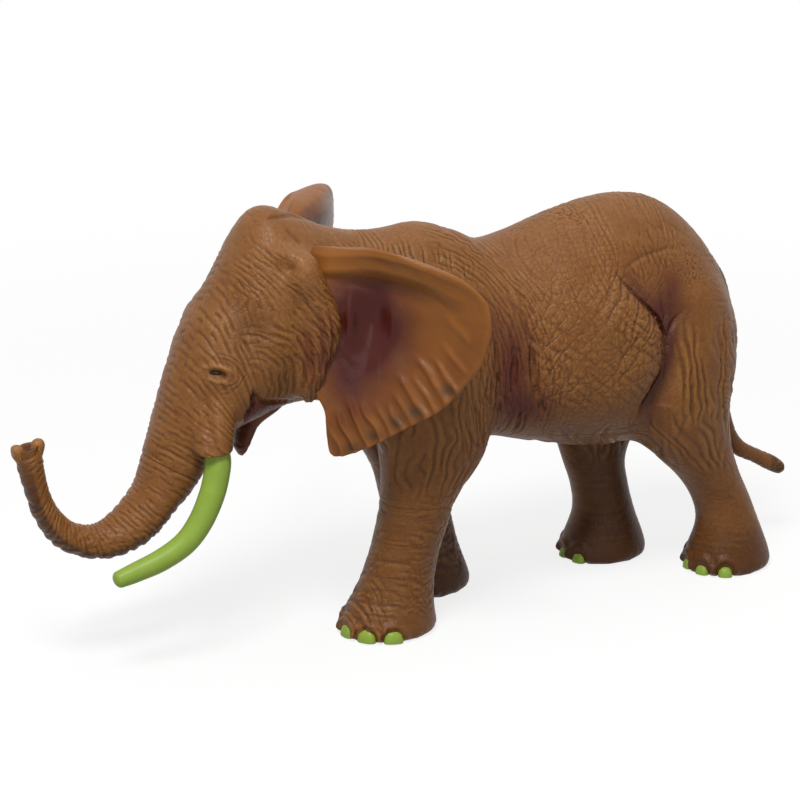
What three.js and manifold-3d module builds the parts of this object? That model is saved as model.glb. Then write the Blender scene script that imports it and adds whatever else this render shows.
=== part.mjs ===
// A moulded toy elephant, striding, in millimetres.
// It faces -X, its left side is toward -Y, +Z is up and its four soles stand on z = 0.
// The body is split the way such a figure is moulded and glued: a barrel with deep sockets, four
// legs, a head with the trunk, a lower jaw, two ears on root tabs, two tusks, a tail, and small
// inlaid eyes and toenails. Every glued seam keeps the same narrow gap.

import * as THREE from 'three';
import { mergeVertices } from 'three/addons/utils/BufferGeometryUtils.js';
import Module from 'manifold-3d';

const wasm = await Module();
wasm.setup();

// Driving dimensions of the barrel of the body
const barrelLength = 105;
const withersHeight = 95;
const barrelHalfWidth = 23;
const barrelRearX = 55;

// Heights of the soft forms that stand out from the barrel and the head
const flankSwellHeight = 1.4;
const flankFoldDepth = 2.8;
const flankFoldReach = 3.3;
const faceSwellHeight = 1.1;

// Driving dimensions of the head, measured forward from the neck seam and up from the throat
const headReach = 52;
const throatHeight = 54;
const headDepth = 48;
const headHalfWidth = 17;

// Driving dimensions of the trunk, measured forward and down from the end of the head
const trunkReach = 31.5;
const trunkDrop = 28;
const trunkHalfWidth = 10.5;

// Driving dimensions of the legs, with the shoulders set back from the neck seam, the hips set
// forward from the rump, and each foot a stride forward or back from its shoulder or hip
const forelegHeight = 80;
const forefootRadius = 11.7;
const shoulderSetback = 15;
const leftForefootStride = -11.3;
const rightForefootStride = 8.9;
const hindLegHeight = 84;
const hindFootRadius = 11.1;
const hipSetback = 25;
const leftHindFootStride = 17.7;
const rightHindFootStride = -5.4;
const trackHalfWidth = 10.6;
const leftForefootTurn = 3;
const rightForefootTurn = -3;
const leftHindFootTurn = 6;
const rightHindFootTurn = -26;

// Driving dimensions of the ears, tusks and tail
const earLength = 42;
const earHeight = 49;
const earThickness = 2.6;
const earCupDepth = 4.2;
const leftEarSpreadAngle = 40;
const rightEarSpreadAngle = 38;
const rightEarRaise = 9;
const tuskLength = 44;
const tuskRadius = 3;
const tailReach = 22.5;
const tailDrop = 53;
const tailRadius = 3.2;

// Driving dimensions of the small inlaid pieces
const eyeHalfLength = 1.7;
const eyeHalfHeight = 1.1;
const eyeHalfDepth = 1.3;
const foreNailHalfWidth = 2.3;
const hindNailHalfWidth = 2.1;
const nailHeight = 2.7;
const nailHalfDepth = 1.5;
const nailFloorGap = 0.7;

// Fits
const glueGap = 0.3;
const neckPegRadius = 5;
const neckPegLength = 8;

// Facet counts
const barrelRings = 44;
const barrelSides = 30;
const headRings = 52;
const headSides = 22;
const legRings = 20;
const legSides = 16;
const earRings = 18;
const earSides = 16;
const tuskRings = 14;
const tuskSides = 10;
const tailRings = 20;
const tailSides = 8;
const smallSides = 8;
const pegSides = 16;

// Colours of the moulded plastics
const hideBrown = 0x9a5a38;
const legBrown = 0x8a4a2e;
const earBrown = 0xa3603a;
const ivoryGreen = 0x8fae42;
const eyeDark = 0x241712;
const tailBrown = 0x7d4a30;
const satinRoughness = 0.55;
const glossRoughness = 0.3;

const lateral = new THREE.Vector3(0, 1, 0);
const upward = new THREE.Vector3(0, 0, 1);

// Working with solids

// A closed geometry as a solid that can be cut, its faces turned outward if they point in.
function solidOf(geometry) {
  const bare = geometry.clone();
  bare.deleteAttribute('normal');
  bare.deleteAttribute('uv');
  const merged = mergeVertices(bare);
  const points = new Float32Array(merged.attributes.position.array);
  const faces = new Uint32Array(merged.index.array);
  if (signedVolume(points, faces) < 0) {
    for (let i = 0; i < faces.length; i += 3) {
      [faces[i + 1], faces[i + 2]] = [faces[i + 2], faces[i + 1]];
    }
  }
  return new wasm.Manifold(new wasm.Mesh({ numProp: 3, vertProperties: points, triVerts: faces }));
}

function signedVolume(points, faces) {
  const corner = (i) => new THREE.Vector3().fromArray(points, 3 * faces[i]);
  let sum = 0;
  for (let i = 0; i < faces.length; i += 3) {
    sum += corner(i).dot(corner(i + 1).cross(corner(i + 2)));
  }
  return sum / 6;
}

// The largest body of a solid, so that a cut leaves no loose slivers behind.
function largestBody(solid) {
  return solid.decompose().reduce((a, b) => (b.volume() > a.volume() ? b : a));
}

function geometryOf(solid) {
  const mesh = solid.getMesh();
  const stride = mesh.numProp;
  const points = new Float32Array(3 * mesh.numVert);
  for (let i = 0; i < mesh.numVert; i += 1) {
    points.set(mesh.vertProperties.subarray(stride * i, stride * i + 3), 3 * i);
  }
  const geometry = new THREE.BufferGeometry();
  geometry.setAttribute('position', new THREE.BufferAttribute(points, 3));
  geometry.setIndex(new THREE.BufferAttribute(new Uint32Array(mesh.triVerts), 1));
  geometry.computeVertexNormals();
  return geometry;
}

function smoothCurve(points) {
  return new THREE.CatmullRomCurve3(points, false, 'catmullrom', 0.5);
}

// A loft through oval sections. Each section runs from its front point to its back point and is
// as thick as its side vector. The ridge narrows it toward the front point, the bow bends its
// middle sideways, relief lifts the surface by a height worked out for each place, and grow widens
// the loft all round for the socket that the piece sits in.
function loft({ front, back, side, bow = null, ridge = 0, relief = null, rings, sides, grow = 0 }) {
  const frontLine = smoothCurve(front);
  const backLine = smoothCurve(back);
  const sideLine = smoothCurve(side);
  const bowLine = bow ? smoothCurve(bow) : null;
  const vertices = [];
  for (let i = 0; i <= rings; i += 1) {
    const t = i / rings;
    const high = frontLine.getPoint(t);
    const low = backLine.getPoint(t);
    const centre = high.clone().add(low).multiplyScalar(0.5);
    const reach = high.clone().sub(centre);
    reach.setLength(reach.length() + grow);
    const width = sideLine.getPoint(t);
    width.setLength(width.length() + grow);
    const bend = bowLine ? bowLine.getPoint(t) : new THREE.Vector3();
    for (let j = 0; j < sides; j += 1) {
      const angle = (2 * Math.PI * j) / sides;
      const c = Math.cos(angle);
      const s = Math.sin(angle);
      const point = centre.clone().addScaledVector(reach, c);
      point.addScaledVector(width, s * (1 - ridge * c)).addScaledVector(bend, s * s);
      if (relief) point.addScaledVector(point.clone().sub(centre).normalize(), relief(point));
      vertices.push(point.x, point.y, point.z);
    }
  }
  return solidOf(skin(vertices, rings, sides));
}

// Joins rings of points into one closed surface with a fan over each end.
function skin(vertices, rings, sides) {
  const faces = [];
  for (let i = 0; i < rings; i += 1) {
    for (let j = 0; j < sides; j += 1) {
      const a = i * sides + j;
      const b = i * sides + ((j + 1) % sides);
      faces.push(a, b, b + sides, a, b + sides, a + sides);
    }
  }
  for (const first of [0, rings * sides]) {
    const hub = vertices.length / 3;
    const mean = [0, 0, 0];
    for (let j = 0; j < sides; j += 1) {
      for (let k = 0; k < 3; k += 1) mean[k] += vertices[3 * (first + j) + k] / sides;
    }
    vertices.push(...mean);
    for (let j = 0; j < sides; j += 1) {
      const a = first + j;
      const b = first + ((j + 1) % sides);
      faces.push(...(first === 0 ? [b, a, hub] : [a, b, hub]));
    }
  }
  const geometry = new THREE.BufferGeometry();
  geometry.setAttribute('position', new THREE.Float32BufferAttribute(vertices, 3));
  geometry.setIndex(faces);
  return geometry;
}

// An oval pebble with its own half sizes, turned by the yaw about the upright axis.
function pebble(halfLength, halfWidth, halfHeight, yaw, place, grow = 0) {
  const geometry = new THREE.SphereGeometry(1, smallSides, smallSides / 2 + 1);
  geometry.rotateX(Math.PI / 2);
  geometry.scale(halfLength + grow, halfWidth + grow, halfHeight + grow);
  geometry.rotateZ(yaw);
  geometry.translate(place.x, place.y, place.z);
  return solidOf(geometry);
}

// The height that a list of soft swells and hollows adds at a place seen from the side. Each form
// fades out from its middle over its own reach.
function swellAt(point, forms) {
  return forms.reduce((sum, { middle, reachAlong, reachUp, rise }) => {
    const along = (point.x - middle.x) / reachAlong;
    const up = (point.z - middle.z) / reachUp;
    return sum + rise * Math.exp(-along * along - up * up);
  }, 0);
}

// The depth of a fold at a place seen from the side: full on the line through its points, fading
// to both sides over the reach, and along the line as the shares at its points say.
function foldAt(point, line, reach, depth) {
  let deepest = 0;
  for (let i = 0; i + 1 < line.length; i += 1) {
    const [start, end] = [line[i], line[i + 1]];
    const flat = new THREE.Vector3(point.x, 0, point.z);
    const segment = new THREE.Line3(start.place, end.place);
    const t = segment.closestPointToPointParameter(flat, true);
    const gap = segment.at(t, new THREE.Vector3()).distanceTo(flat);
    const share = THREE.MathUtils.lerp(start.share, end.share, t);
    deepest = Math.max(deepest, depth * share * Math.exp(-((gap / reach) ** 2)));
  }
  return deepest;
}

// The barrel of the body
// Each row holds: along, back line, belly line, half width.
const barrelShares = [
  [0.0, 0.993, 0.52, 0.674],
  [0.076, 0.987, 0.442, 0.739],
  [0.162, 0.993, 0.421, 0.783],
  [0.248, 0.963, 0.426, 0.826],
  [0.314, 0.929, 0.432, 0.891],
  [0.4, 0.942, 0.407, 0.957],
  [0.495, 0.973, 0.381, 1.0],
  [0.59, 0.997, 0.36, 1.0],
  [0.676, 1.003, 0.36, 0.935],
  [0.755, 0.985, 0.379, 0.87],
  [0.828, 0.93, 0.4, 0.804],
  [0.888, 0.855, 0.432, 0.696],
  [0.93, 0.77, 0.474, 0.543],
  [0.955, 0.69, 0.526, 0.348],
  [0.965, 0.632, 0.579, 0.087],
];
const spineRidgeShare = 0.16;
// The belly behind the elbow, the hollow of the armpit and the muscle of the thigh.
// Each row holds: along, up, reach along, reach up, rise.
const flankSwellShares = [
  [0.57, 0.65, 0.07, 0.14, 1.0],
  [0.505, 0.58, 0.13, 0.13, 0.5],
  [0.315, 0.59, 0.05, 0.14, -0.9],
  [0.77, 0.63, 0.07, 0.15, 0.4],
];
// The fold between the belly and the thigh. Each row holds: along, up, depth.
const flankFoldShares = [
  [0.557, 0.884, 0.0],
  [0.613, 0.812, 0.75],
  [0.67, 0.73, 1.0],
  [0.681, 0.647, 1.0],
  [0.665, 0.56, 0.8],
  [0.64, 0.47, 0.1],
];
// The forms of the flanks fade out toward the spine and the belly line, between these half widths.
const flankStartShare = 0.2;
const flankFullShare = 0.5;
const neckX = barrelRearX - barrelLength;

function barrelSection([along, top, bottom, width]) {
  const x = neckX + barrelLength * along;
  return {
    top: new THREE.Vector3(x, 0, withersHeight * top),
    bottom: new THREE.Vector3(x, 0, withersHeight * bottom),
    side: lateral.clone().multiplyScalar(barrelHalfWidth * width),
  };
}

function flankPlace(along, up) {
  return new THREE.Vector3(neckX + barrelLength * along, 0, withersHeight * up);
}

function flankRelief() {
  const swells = flankSwellShares.map(([along, up, reachAlong, reachUp, rise]) => ({
    middle: flankPlace(along, up),
    reachAlong: barrelLength * reachAlong,
    reachUp: withersHeight * reachUp,
    rise: flankSwellHeight * rise,
  }));
  const fold = flankFoldShares.map(([along, up, share]) => ({ place: flankPlace(along, up), share }));
  const [start, full] = [flankStartShare, flankFullShare].map((share) => barrelHalfWidth * share);
  return (point) => {
    const height = swellAt(point, swells) - foldAt(point, fold, flankFoldReach, flankFoldDepth);
    return height * THREE.MathUtils.smoothstep(Math.abs(point.y), start, full);
  };
}

function makeBarrel() {
  const sections = barrelShares.map(barrelSection);
  return loft({
    front: sections.map((s) => s.top),
    back: sections.map((s) => s.bottom),
    side: sections.map((s) => s.side),
    ridge: spineRidgeShare,
    relief: flankRelief(),
    rings: barrelRings,
    sides: barrelSides,
  });
}

// The legs
// Each row holds: height, half depth, half width, distance out from the middle of the body.
const forelegShares = [
  [0.98, 0.7, 0.3, 1.2],
  [0.88, 1.08, 0.6, 1.3],
  [0.73, 1.27, 0.74, 1.28],
  [0.6, 1.29, 0.77, 1.23],
  [0.5, 1.1, 0.77, 1.16],
  [0.4, 0.8, 0.74, 1.08],
  [0.31, 0.73, 0.7, 1.04],
  [0.225, 0.71, 0.69, 1.0],
  [0.138, 0.78, 0.74, 1.0],
  [0.063, 0.93, 0.84, 1.0],
  [0.02, 1.0, 0.87, 1.0],
  [0.0, 0.93, 0.79, 1.0],
];
const leftForelegLeanShares = [0, 0.04, 0.03, 0.0, 0.08, 0.33, 0.48, 0.64, 0.82, 0.97, 1, 1];
const rightForelegLeanShares = [0, 0.05, 0.15, 0.3, 0.45, 0.6, 0.72, 0.84, 0.95, 1, 1, 1];
const hindLegShares = [
  [0.96, 0.56, 0.28, 0.98],
  [0.87, 1.2, 0.64, 1.12],
  [0.74, 1.48, 0.79, 1.2],
  [0.6, 1.5, 0.83, 1.2],
  [0.5, 1.31, 0.815, 1.17],
  [0.405, 1.03, 0.75, 1.11],
  [0.31, 0.745, 0.655, 1.04],
  [0.226, 0.66, 0.63, 1.0],
  [0.143, 0.7, 0.69, 1.0],
  [0.06, 0.93, 0.8, 1.0],
  [0.018, 1.0, 0.85, 1.0],
  [0.0, 0.94, 0.78, 1.0],
];
const leftHindLegLeanShares = [-0.1, -0.06, -0.04, -0.02, 0.03, 0.26, 0.59, 0.84, 0.98, 1, 1, 1];
const rightHindLegLeanShares = [0.1, 0.1, 0.2, 0.55, 0.98, 1.38, 1.55, 1.28, 1.02, 1, 1, 1];

const shoulderX = neckX + shoulderSetback;
const hipX = barrelRearX - hipSetback;
const foreleg = { rows: forelegShares, height: forelegHeight, radius: forefootRadius, topX: shoulderX };
const hindLeg = { rows: hindLegShares, height: hindLegHeight, radius: hindFootRadius, topX: hipX };

const leftForeleg = {
  side: -1,
  stride: leftForefootStride,
  turn: leftForefootTurn,
  lean: leftForelegLeanShares,
};
const rightForeleg = {
  side: 1,
  stride: rightForefootStride,
  turn: rightForefootTurn,
  lean: rightForelegLeanShares,
};
const leftHindLeg = {
  side: -1,
  stride: leftHindFootStride,
  turn: leftHindFootTurn,
  lean: leftHindLegLeanShares,
};
const rightHindLeg = {
  side: 1,
  stride: rightHindFootStride,
  turn: rightHindFootTurn,
  lean: rightHindLegLeanShares,
};

const legs = [
  { name: 'left_foreleg', ...foreleg, ...leftForeleg },
  { name: 'right_foreleg', ...foreleg, ...rightForeleg },
  { name: 'left_hind_leg', ...hindLeg, ...leftHindLeg },
  { name: 'right_hind_leg', ...hindLeg, ...rightHindLeg },
];

function makeLeg(leg, grow = 0) {
  const front = [];
  const back = [];
  const side = [];
  leg.rows.forEach(([height, depth, width, out], i) => {
    const x = leg.topX + leg.stride * leg.lean[i];
    const y = leg.side * trackHalfWidth * out;
    const z = leg.height * height;
    front.push(new THREE.Vector3(x - leg.radius * depth, y, z));
    back.push(new THREE.Vector3(x + leg.radius * depth, y, z));
    side.push(lateral.clone().multiplyScalar(leg.radius * width));
  });
  return loft({ front, back, side, rings: legRings, sides: legSides, grow });
}

// The toenails, fanned round the front of each foot
const foreNailAngles = [-70, -35, 0, 35, 70];
const hindNailAngles = [-52, -17, 17, 52];

const soleWidthShare = 0.9;

function nailsOf(leg) {
  const fore = leg.radius === forefootRadius;
  const angles = fore ? foreNailAngles : hindNailAngles;
  const halfWidth = fore ? foreNailHalfWidth : hindNailHalfWidth;
  const sitRadius = leg.radius - nailHalfDepth / 2;
  return angles.map((degrees, i) => {
    const angle = Math.PI + THREE.MathUtils.degToRad(degrees + leg.turn);
    const place = new THREE.Vector3(
      leg.topX + leg.stride + sitRadius * Math.cos(angle),
      leg.side * trackHalfWidth + sitRadius * soleWidthShare * Math.sin(angle),
      nailFloorGap,
    );
    const size = [nailHalfDepth, halfWidth, nailHeight];
    const nail = pebble(...size, angle, place).trimByPlane([0, 0, 1], nailFloorGap);
    return { name: `${leg.name}_nail_${i + 1}`, nail, socket: pebble(...size, angle, place, glueGap) };
  });
}

// The head with its trunk
// A place on the head: forward from the neck seam, up from the throat.
function headPlace(along, height, y = 0) {
  return new THREE.Vector3(neckX - headReach * along, y, throatHeight + headDepth * height);
}

// A place on the trunk: forward from the end of the head, down from the throat.
function trunkPlace(along, drop, y = 0) {
  return new THREE.Vector3(neckX - headReach - trunkReach * along, y, throatHeight - trunkDrop * drop);
}

// Each row holds: forward and up to the brow line, forward and up to the throat line, half width.
const headShares = [
  [0.15, 0.885, 0.115, 0.0, 0.86],
  [0.29, 0.96, 0.25, 0.04, 0.86],
  [0.44, 1.009, 0.365, 0.035, 0.92],
  [0.54, 0.91, 0.44, 0.02, 0.93],
  [0.646, 0.71, 0.5, 0.0, 0.9],
  [0.787, 0.49, 0.567, -0.02, 0.83],
  [0.877, 0.27, 0.635, -0.052, 0.7],
  [0.942, 0.0625, 0.72, -0.115, 0.6],
];
const browRidgeShare = 0.14;
// The hollow of the temple, the brow above the eye, the cheek and the crown between the ears.
// Each row holds: along, up, reach along, reach up, rise.
const faceSwellShares = [
  [0.615, 0.469, 0.065, 0.104, -1.0],
  [0.721, 0.52, 0.062, 0.0875, 0.7],
  [0.49, 0.396, 0.096, 0.125, 0.5],
  [0.3, 0.93, 0.13, 0.09, 0.8],
];
// Each row holds: forward and down to the front line, forward and down to the back line, half width.
const trunkShares = [
  [0.0, 0.2, -0.385, 0.44, 0.82],
  [0.075, 0.44, -0.195, 0.685, 0.7],
  [0.225, 0.63, -0.005, 0.905, 0.62],
  [0.38, 0.725, 0.235, 1.015, 0.52],
  [0.525, 0.695, 0.48, 0.995, 0.45],
  [0.635, 0.59, 0.705, 0.855, 0.4],
  [0.715, 0.43, 0.843, 0.615, 0.36],
  [0.757, 0.24, 0.91, 0.365, 0.33],
  [0.77, 0.06, 0.963, 0.13, 0.34],
  [0.77, -0.04, 0.99, 0.03, 0.36],
];
const tipNotchRadius = 1.4;
const tipNotchForwardShare = 0.89;
const tipNotchDropShare = -0.01;
const sheathShares = [
  [0.68, 0.3, 0.42, 0.6],
  [0.725, 0.15, 0.54, 0.85],
  [0.765, 0.02, 0.66, 0.97],
  [0.785, -0.07, 0.735, 0.92],
];
const sheathRadius = 4.9;

function faceRelief() {
  const swells = faceSwellShares.map(([along, up, reachAlong, reachUp, rise]) => ({
    middle: headPlace(along, up),
    reachAlong: headReach * reachAlong,
    reachUp: headDepth * reachUp,
    rise: faceSwellHeight * rise,
  }));
  return (point) => swellAt(point, swells);
}

function makeHead() {
  const neck = barrelSection(barrelShares[0]);
  const gap = new THREE.Vector3(-glueGap, 0, 0);
  const front = [neck.top.clone().add(gap)];
  const back = [neck.bottom.clone().add(gap)];
  const side = [neck.side.clone()];
  for (const [frontAlong, frontUp, backAlong, backUp, width] of headShares) {
    front.push(headPlace(frontAlong, frontUp));
    back.push(headPlace(backAlong, backUp));
    side.push(lateral.clone().multiplyScalar(headHalfWidth * width));
  }
  for (const [frontAlong, frontDrop, backAlong, backDrop, width] of trunkShares) {
    front.push(trunkPlace(frontAlong, frontDrop));
    back.push(trunkPlace(backAlong, backDrop));
    side.push(lateral.clone().multiplyScalar(trunkHalfWidth * width));
  }
  const relief = faceRelief();
  let head = loft({ front, back, side, ridge: browRidgeShare, relief, rings: headRings, sides: headSides });
  for (const sign of [-1, 1]) head = head.add(makeSheath(sign));
  return head.add(neckPeg()).subtract(tipNotch());
}

// The swelling of the upper lip round a tusk root.
function makeSheath(sign) {
  const places = sheathShares.map(([along, up, out]) => headPlace(along, up, sign * headHalfWidth * out));
  const reach = (i) => sheathRadius * sheathShares[i][3];
  const forward = new THREE.Vector3(-1, 0, 0);
  return loft({
    front: places.map((p, i) => p.clone().addScaledVector(forward, reach(i))),
    back: places.map((p, i) => p.clone().addScaledVector(forward, -reach(i))),
    side: places.map((p, i) => lateral.clone().multiplyScalar(reach(i))),
    rings: tuskRings / 2,
    sides: tuskSides,
  });
}

// The peg behind the head, glued into the socket in the neck.
function neckPeg(grow = 0) {
  const neck = barrelSection(barrelShares[0]);
  const length = neckPegLength + 2 * grow;
  const peg = new THREE.CylinderGeometry(neckPegRadius + grow, neckPegRadius + grow, 2 * length, pegSides);
  peg.rotateZ(Math.PI / 2);
  peg.translate(neckX, 0, (neck.top.z + neck.bottom.z) / 2);
  return solidOf(peg);
}

// The notch between the two fingers at the tip of the trunk.
function tipNotch() {
  const notch = new THREE.CylinderGeometry(tipNotchRadius, tipNotchRadius, 2 * trunkHalfWidth, smallSides);
  const place = trunkPlace(tipNotchForwardShare, tipNotchDropShare);
  notch.translate(place.x, place.y, place.z);
  return solidOf(notch);
}

// The lower jaw with its pointed lip
// Each row holds: forward and up to the front line, forward and up to the back line, half width.
const jawShares = [
  [0.5, 0.17, 0.27, 0.125, 0.38],
  [0.54, 0.0625, 0.37, 0.03, 0.353],
  [0.562, -0.045, 0.465, -0.035, 0.247],
  [0.577, -0.137, 0.517, -0.147, 0.141],
  [0.563, -0.193, 0.543, -0.199, 0.047],
];

function makeJaw(grow = 0) {
  return loft({
    front: jawShares.map(([along, up]) => headPlace(along, up)),
    back: jawShares.map((row) => headPlace(row[2], row[3])),
    side: jawShares.map((row) => lateral.clone().multiplyScalar(headHalfWidth * row[4])),
    rings: tuskRings,
    sides: tuskSides,
    grow,
  });
}

// The tusks, each curving down, forward and a little outward
// Each row holds: forward, down, outward, radius.
const tuskShares = [
  [-0.05, -0.14, -0.02, 0.95],
  [0.0, 0.0, 0.0, 1.0],
  [0.013, 0.09, 0.01, 1.0],
  [0.05, 0.2, 0.02, 0.97],
  [0.115, 0.32, 0.03, 0.94],
  [0.205, 0.423, 0.03, 0.9],
  [0.328, 0.495, 0.02, 0.84],
  [0.465, 0.547, 0.0, 0.76],
  [0.548, 0.573, -0.01, 0.66],
  [0.577, 0.582, -0.012, 0.3],
];
const tuskRootAlongShare = 0.762;
const tuskRootUpShare = -0.09;
const tuskRootOutShare = 0.745;

function makeTusk(sign, grow = 0) {
  const root = headPlace(tuskRootAlongShare, tuskRootUpShare, sign * headHalfWidth * tuskRootOutShare);
  const places = tuskShares.map(([forward, down, out]) => new THREE.Vector3(
    root.x - tuskLength * forward,
    root.y + sign * tuskLength * out,
    root.z - tuskLength * down,
  ));
  const path = smoothCurve(places);
  const front = [];
  const back = [];
  const side = [];
  places.forEach((place, i) => {
    const heading = path.getTangent(i / (places.length - 1));
    const across = new THREE.Vector3().crossVectors(heading, lateral).normalize();
    const radius = tuskRadius * tuskShares[i][3];
    front.push(place.clone().addScaledVector(across, radius));
    back.push(place.clone().addScaledVector(across, -radius));
    side.push(lateral.clone().multiplyScalar(radius));
  });
  return loft({ front, back, side, rings: tuskRings, sides: tuskSides, grow });
}

// The ears
// Each row holds: back and up to the root line, how far that lies in, back and up to the rim,
// how far that lies in, and the depth of the cup.
const earShares = [
  [0.0, 0.35, -0.13, 0.5, 0.305, 0.0, 0.0],
  [-0.05, 0.27, -0.1, 0.8, 0.22, 0.0, 0.35],
  [-0.06, 0.17, -0.03, 0.95, 0.12, 0.0, 0.8],
  [-0.06, 0.06, 0.0, 0.985, 0.0, 0.0, 1.0],
  [-0.06, -0.04, 0.0, 0.965, -0.1, 0.0, 1.0],
  [-0.05, -0.14, 0.0, 0.925, -0.195, 0.0, 0.9],
  [-0.04, -0.24, 0.0, 0.835, -0.295, 0.0, 0.75],
  [0.02, -0.35, 0.0, 0.715, -0.405, 0.0, 0.6],
  [0.085, -0.455, 0.0, 0.525, -0.505, 0.0, 0.4],
  [0.092, -0.555, 0.0, 0.37, -0.585, 0.0, 0.25],
  [0.108, -0.635, 0.0, 0.225, -0.645, 0.0, 0.1],
  [0.13, -0.66, 0.0, 0.16, -0.66, 0.0, 0.0],
];
const earThicknessShares = [0.55, 0.9, 1.0, 1.0, 1.0, 1.0, 0.95, 0.9, 0.85, 0.75, 0.6, 0.35];
const earRootAlongShare = 0.346;
const earRootUpShare = 0.542;
const earRootOutShare = 0.88;

function makeEar(sign, spreadAngle, raise, grow = 0) {
  const spread = THREE.MathUtils.degToRad(spreadAngle);
  const backward = new THREE.Vector3(Math.cos(spread), sign * Math.sin(spread), 0);
  const facing = new THREE.Vector3(-Math.sin(spread), sign * Math.cos(spread), 0);
  const root = headPlace(earRootAlongShare, earRootUpShare, sign * headHalfWidth * earRootOutShare);
  const at = (backShare, upShare, inShare) => root.clone()
    .addScaledVector(backward, earLength * backShare)
    .addScaledVector(facing, earLength * inShare)
    .addScaledVector(upward, earHeight * upShare + raise * Math.max(0, backShare) ** 2);
  return loft({
    front: earShares.map((row) => at(row[0], row[1], row[2])),
    back: earShares.map((row) => at(row[3], row[4], row[5])),
    side: earThicknessShares.map((share) => facing.clone().multiplyScalar((earThickness / 2) * share)),
    bow: earShares.map((row) => facing.clone().multiplyScalar(-earCupDepth * row[6])),
    rings: earRings,
    sides: earSides,
    grow,
  });
}

// The tail, hanging down the rump and swinging out at its tip
// Each row holds: backward, down, radius.
const tailShares = [
  [-0.16, -0.06, 0.9],
  [0.0, 0.05, 0.9],
  [0.11, 0.2, 0.72],
  [0.14, 0.42, 0.55],
  [0.15, 0.62, 0.5],
  [0.23, 0.775, 0.6],
  [0.38, 0.868, 0.62],
  [0.6, 0.922, 0.57],
  [0.81, 0.972, 0.62],
  [0.94, 1.006, 0.5],
  [0.985, 1.018, 0.22],
];
const tailRootInset = 6.5;
const tailRootHeight = 72;

function makeTail(grow = 0) {
  const rootX = barrelRearX - tailRootInset;
  const places = tailShares.map(([along, down]) => new THREE.Vector3(
    rootX + tailReach * along,
    0,
    tailRootHeight - tailDrop * down,
  ));
  const path = smoothCurve(places);
  const front = [];
  const back = [];
  const side = [];
  places.forEach((place, i) => {
    const heading = path.getTangent(i / (places.length - 1));
    const across = new THREE.Vector3().crossVectors(heading, lateral).normalize();
    const radius = tailRadius * tailShares[i][2];
    front.push(place.clone().addScaledVector(across, radius));
    back.push(place.clone().addScaledVector(across, -radius));
    side.push(lateral.clone().multiplyScalar(radius));
  });
  return loft({ front, back, side, rings: tailRings, sides: tailSides, grow });
}

// The eyes
const eyeAlongShare = 0.735;
const eyeUpShare = 0.308;
const eyeOutShare = 0.6;

function makeEye(sign, grow = 0) {
  const place = headPlace(eyeAlongShare, eyeUpShare, sign * headHalfWidth * eyeOutShare);
  return pebble(eyeHalfLength, eyeHalfDepth, eyeHalfHeight, 0, place, grow);
}

// The materials

function plastic(color, roughness) {
  return new THREE.MeshStandardMaterial({ color, roughness, metalness: 0 });
}
const hidePlastic = plastic(hideBrown, satinRoughness);
const legPlastic = plastic(legBrown, satinRoughness);
const earPlastic = plastic(earBrown, satinRoughness);
const tailPlastic = plastic(tailBrown, satinRoughness);
const ivoryPlastic = plastic(ivoryGreen, glossRoughness);
const eyePlastic = plastic(eyeDark, glossRoughness);

// The assembly

const figure = new THREE.Group();

function addPiece(name, solid, material) {
  const mesh = new THREE.Mesh(geometryOf(largestBody(solid)), material);
  mesh.name = name;
  figure.add(mesh);
}

function assemble() {
  let barrel = makeBarrel().subtract(neckPeg(glueGap)).subtract(makeTail(glueGap));
  for (const leg of legs) {
    barrel = barrel.subtract(makeLeg(leg, glueGap));
    let solid = makeLeg(leg).subtract(makeTail(glueGap));
    for (const { name, nail, socket } of nailsOf(leg)) {
      solid = solid.subtract(socket);
      addPiece(name, nail, ivoryPlastic);
    }
    addPiece(leg.name, solid, legPlastic);
  }
  addPiece('torso', barrel, hidePlastic);

  let head = makeHead().subtract(makeJaw(glueGap));
  for (const leg of legs.slice(0, 2)) head = head.subtract(makeLeg(leg, glueGap));
  const jaw = makeJaw();
  const sides = [
    { word: 'left', sign: -1, spread: leftEarSpreadAngle, raise: 0 },
    { word: 'right', sign: 1, spread: rightEarSpreadAngle, raise: rightEarRaise },
  ];
  for (const { word, sign, spread, raise } of sides) {
    head = head.subtract(makeEar(sign, spread, raise, glueGap));
    head = head.subtract(makeTusk(sign, glueGap));
    head = head.subtract(makeEye(sign, glueGap));
    addPiece(`${word}_ear`, makeEar(sign, spread, raise), earPlastic);
    addPiece(`${word}_tusk`, makeTusk(sign), ivoryPlastic);
    addPiece(`${word}_eye`, makeEye(sign), eyePlastic);
  }
  addPiece('head', head, hidePlastic);
  addPiece('lower_jaw', jaw, hidePlastic);
  addPiece('tail', makeTail(), tailPlastic);
}

assemble();

// The origin is under the middle of the figure's box, on the surface that it stands on.
const bounds = new THREE.Box3().setFromObject(figure);
figure.position.set(-(bounds.min.x + bounds.max.x) / 2, -(bounds.min.y + bounds.max.y) / 2, -bounds.min.z);
figure.updateMatrixWorld(true);

export default figure;
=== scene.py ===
# %% [markdown]
# A moulded toy elephant, finished in Blender around a fixed frame of measured solids.
# The real figure is soft PVC, cast in a steel mould and painted with thin brown washes. Its skin
# runs on over every glued seam, so the body is made here as one skin first, and only then parted
# along the seams into a barrel, a head, a trunk, four legs and a tail.

# %% The frame that everything sits in
import math

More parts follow.
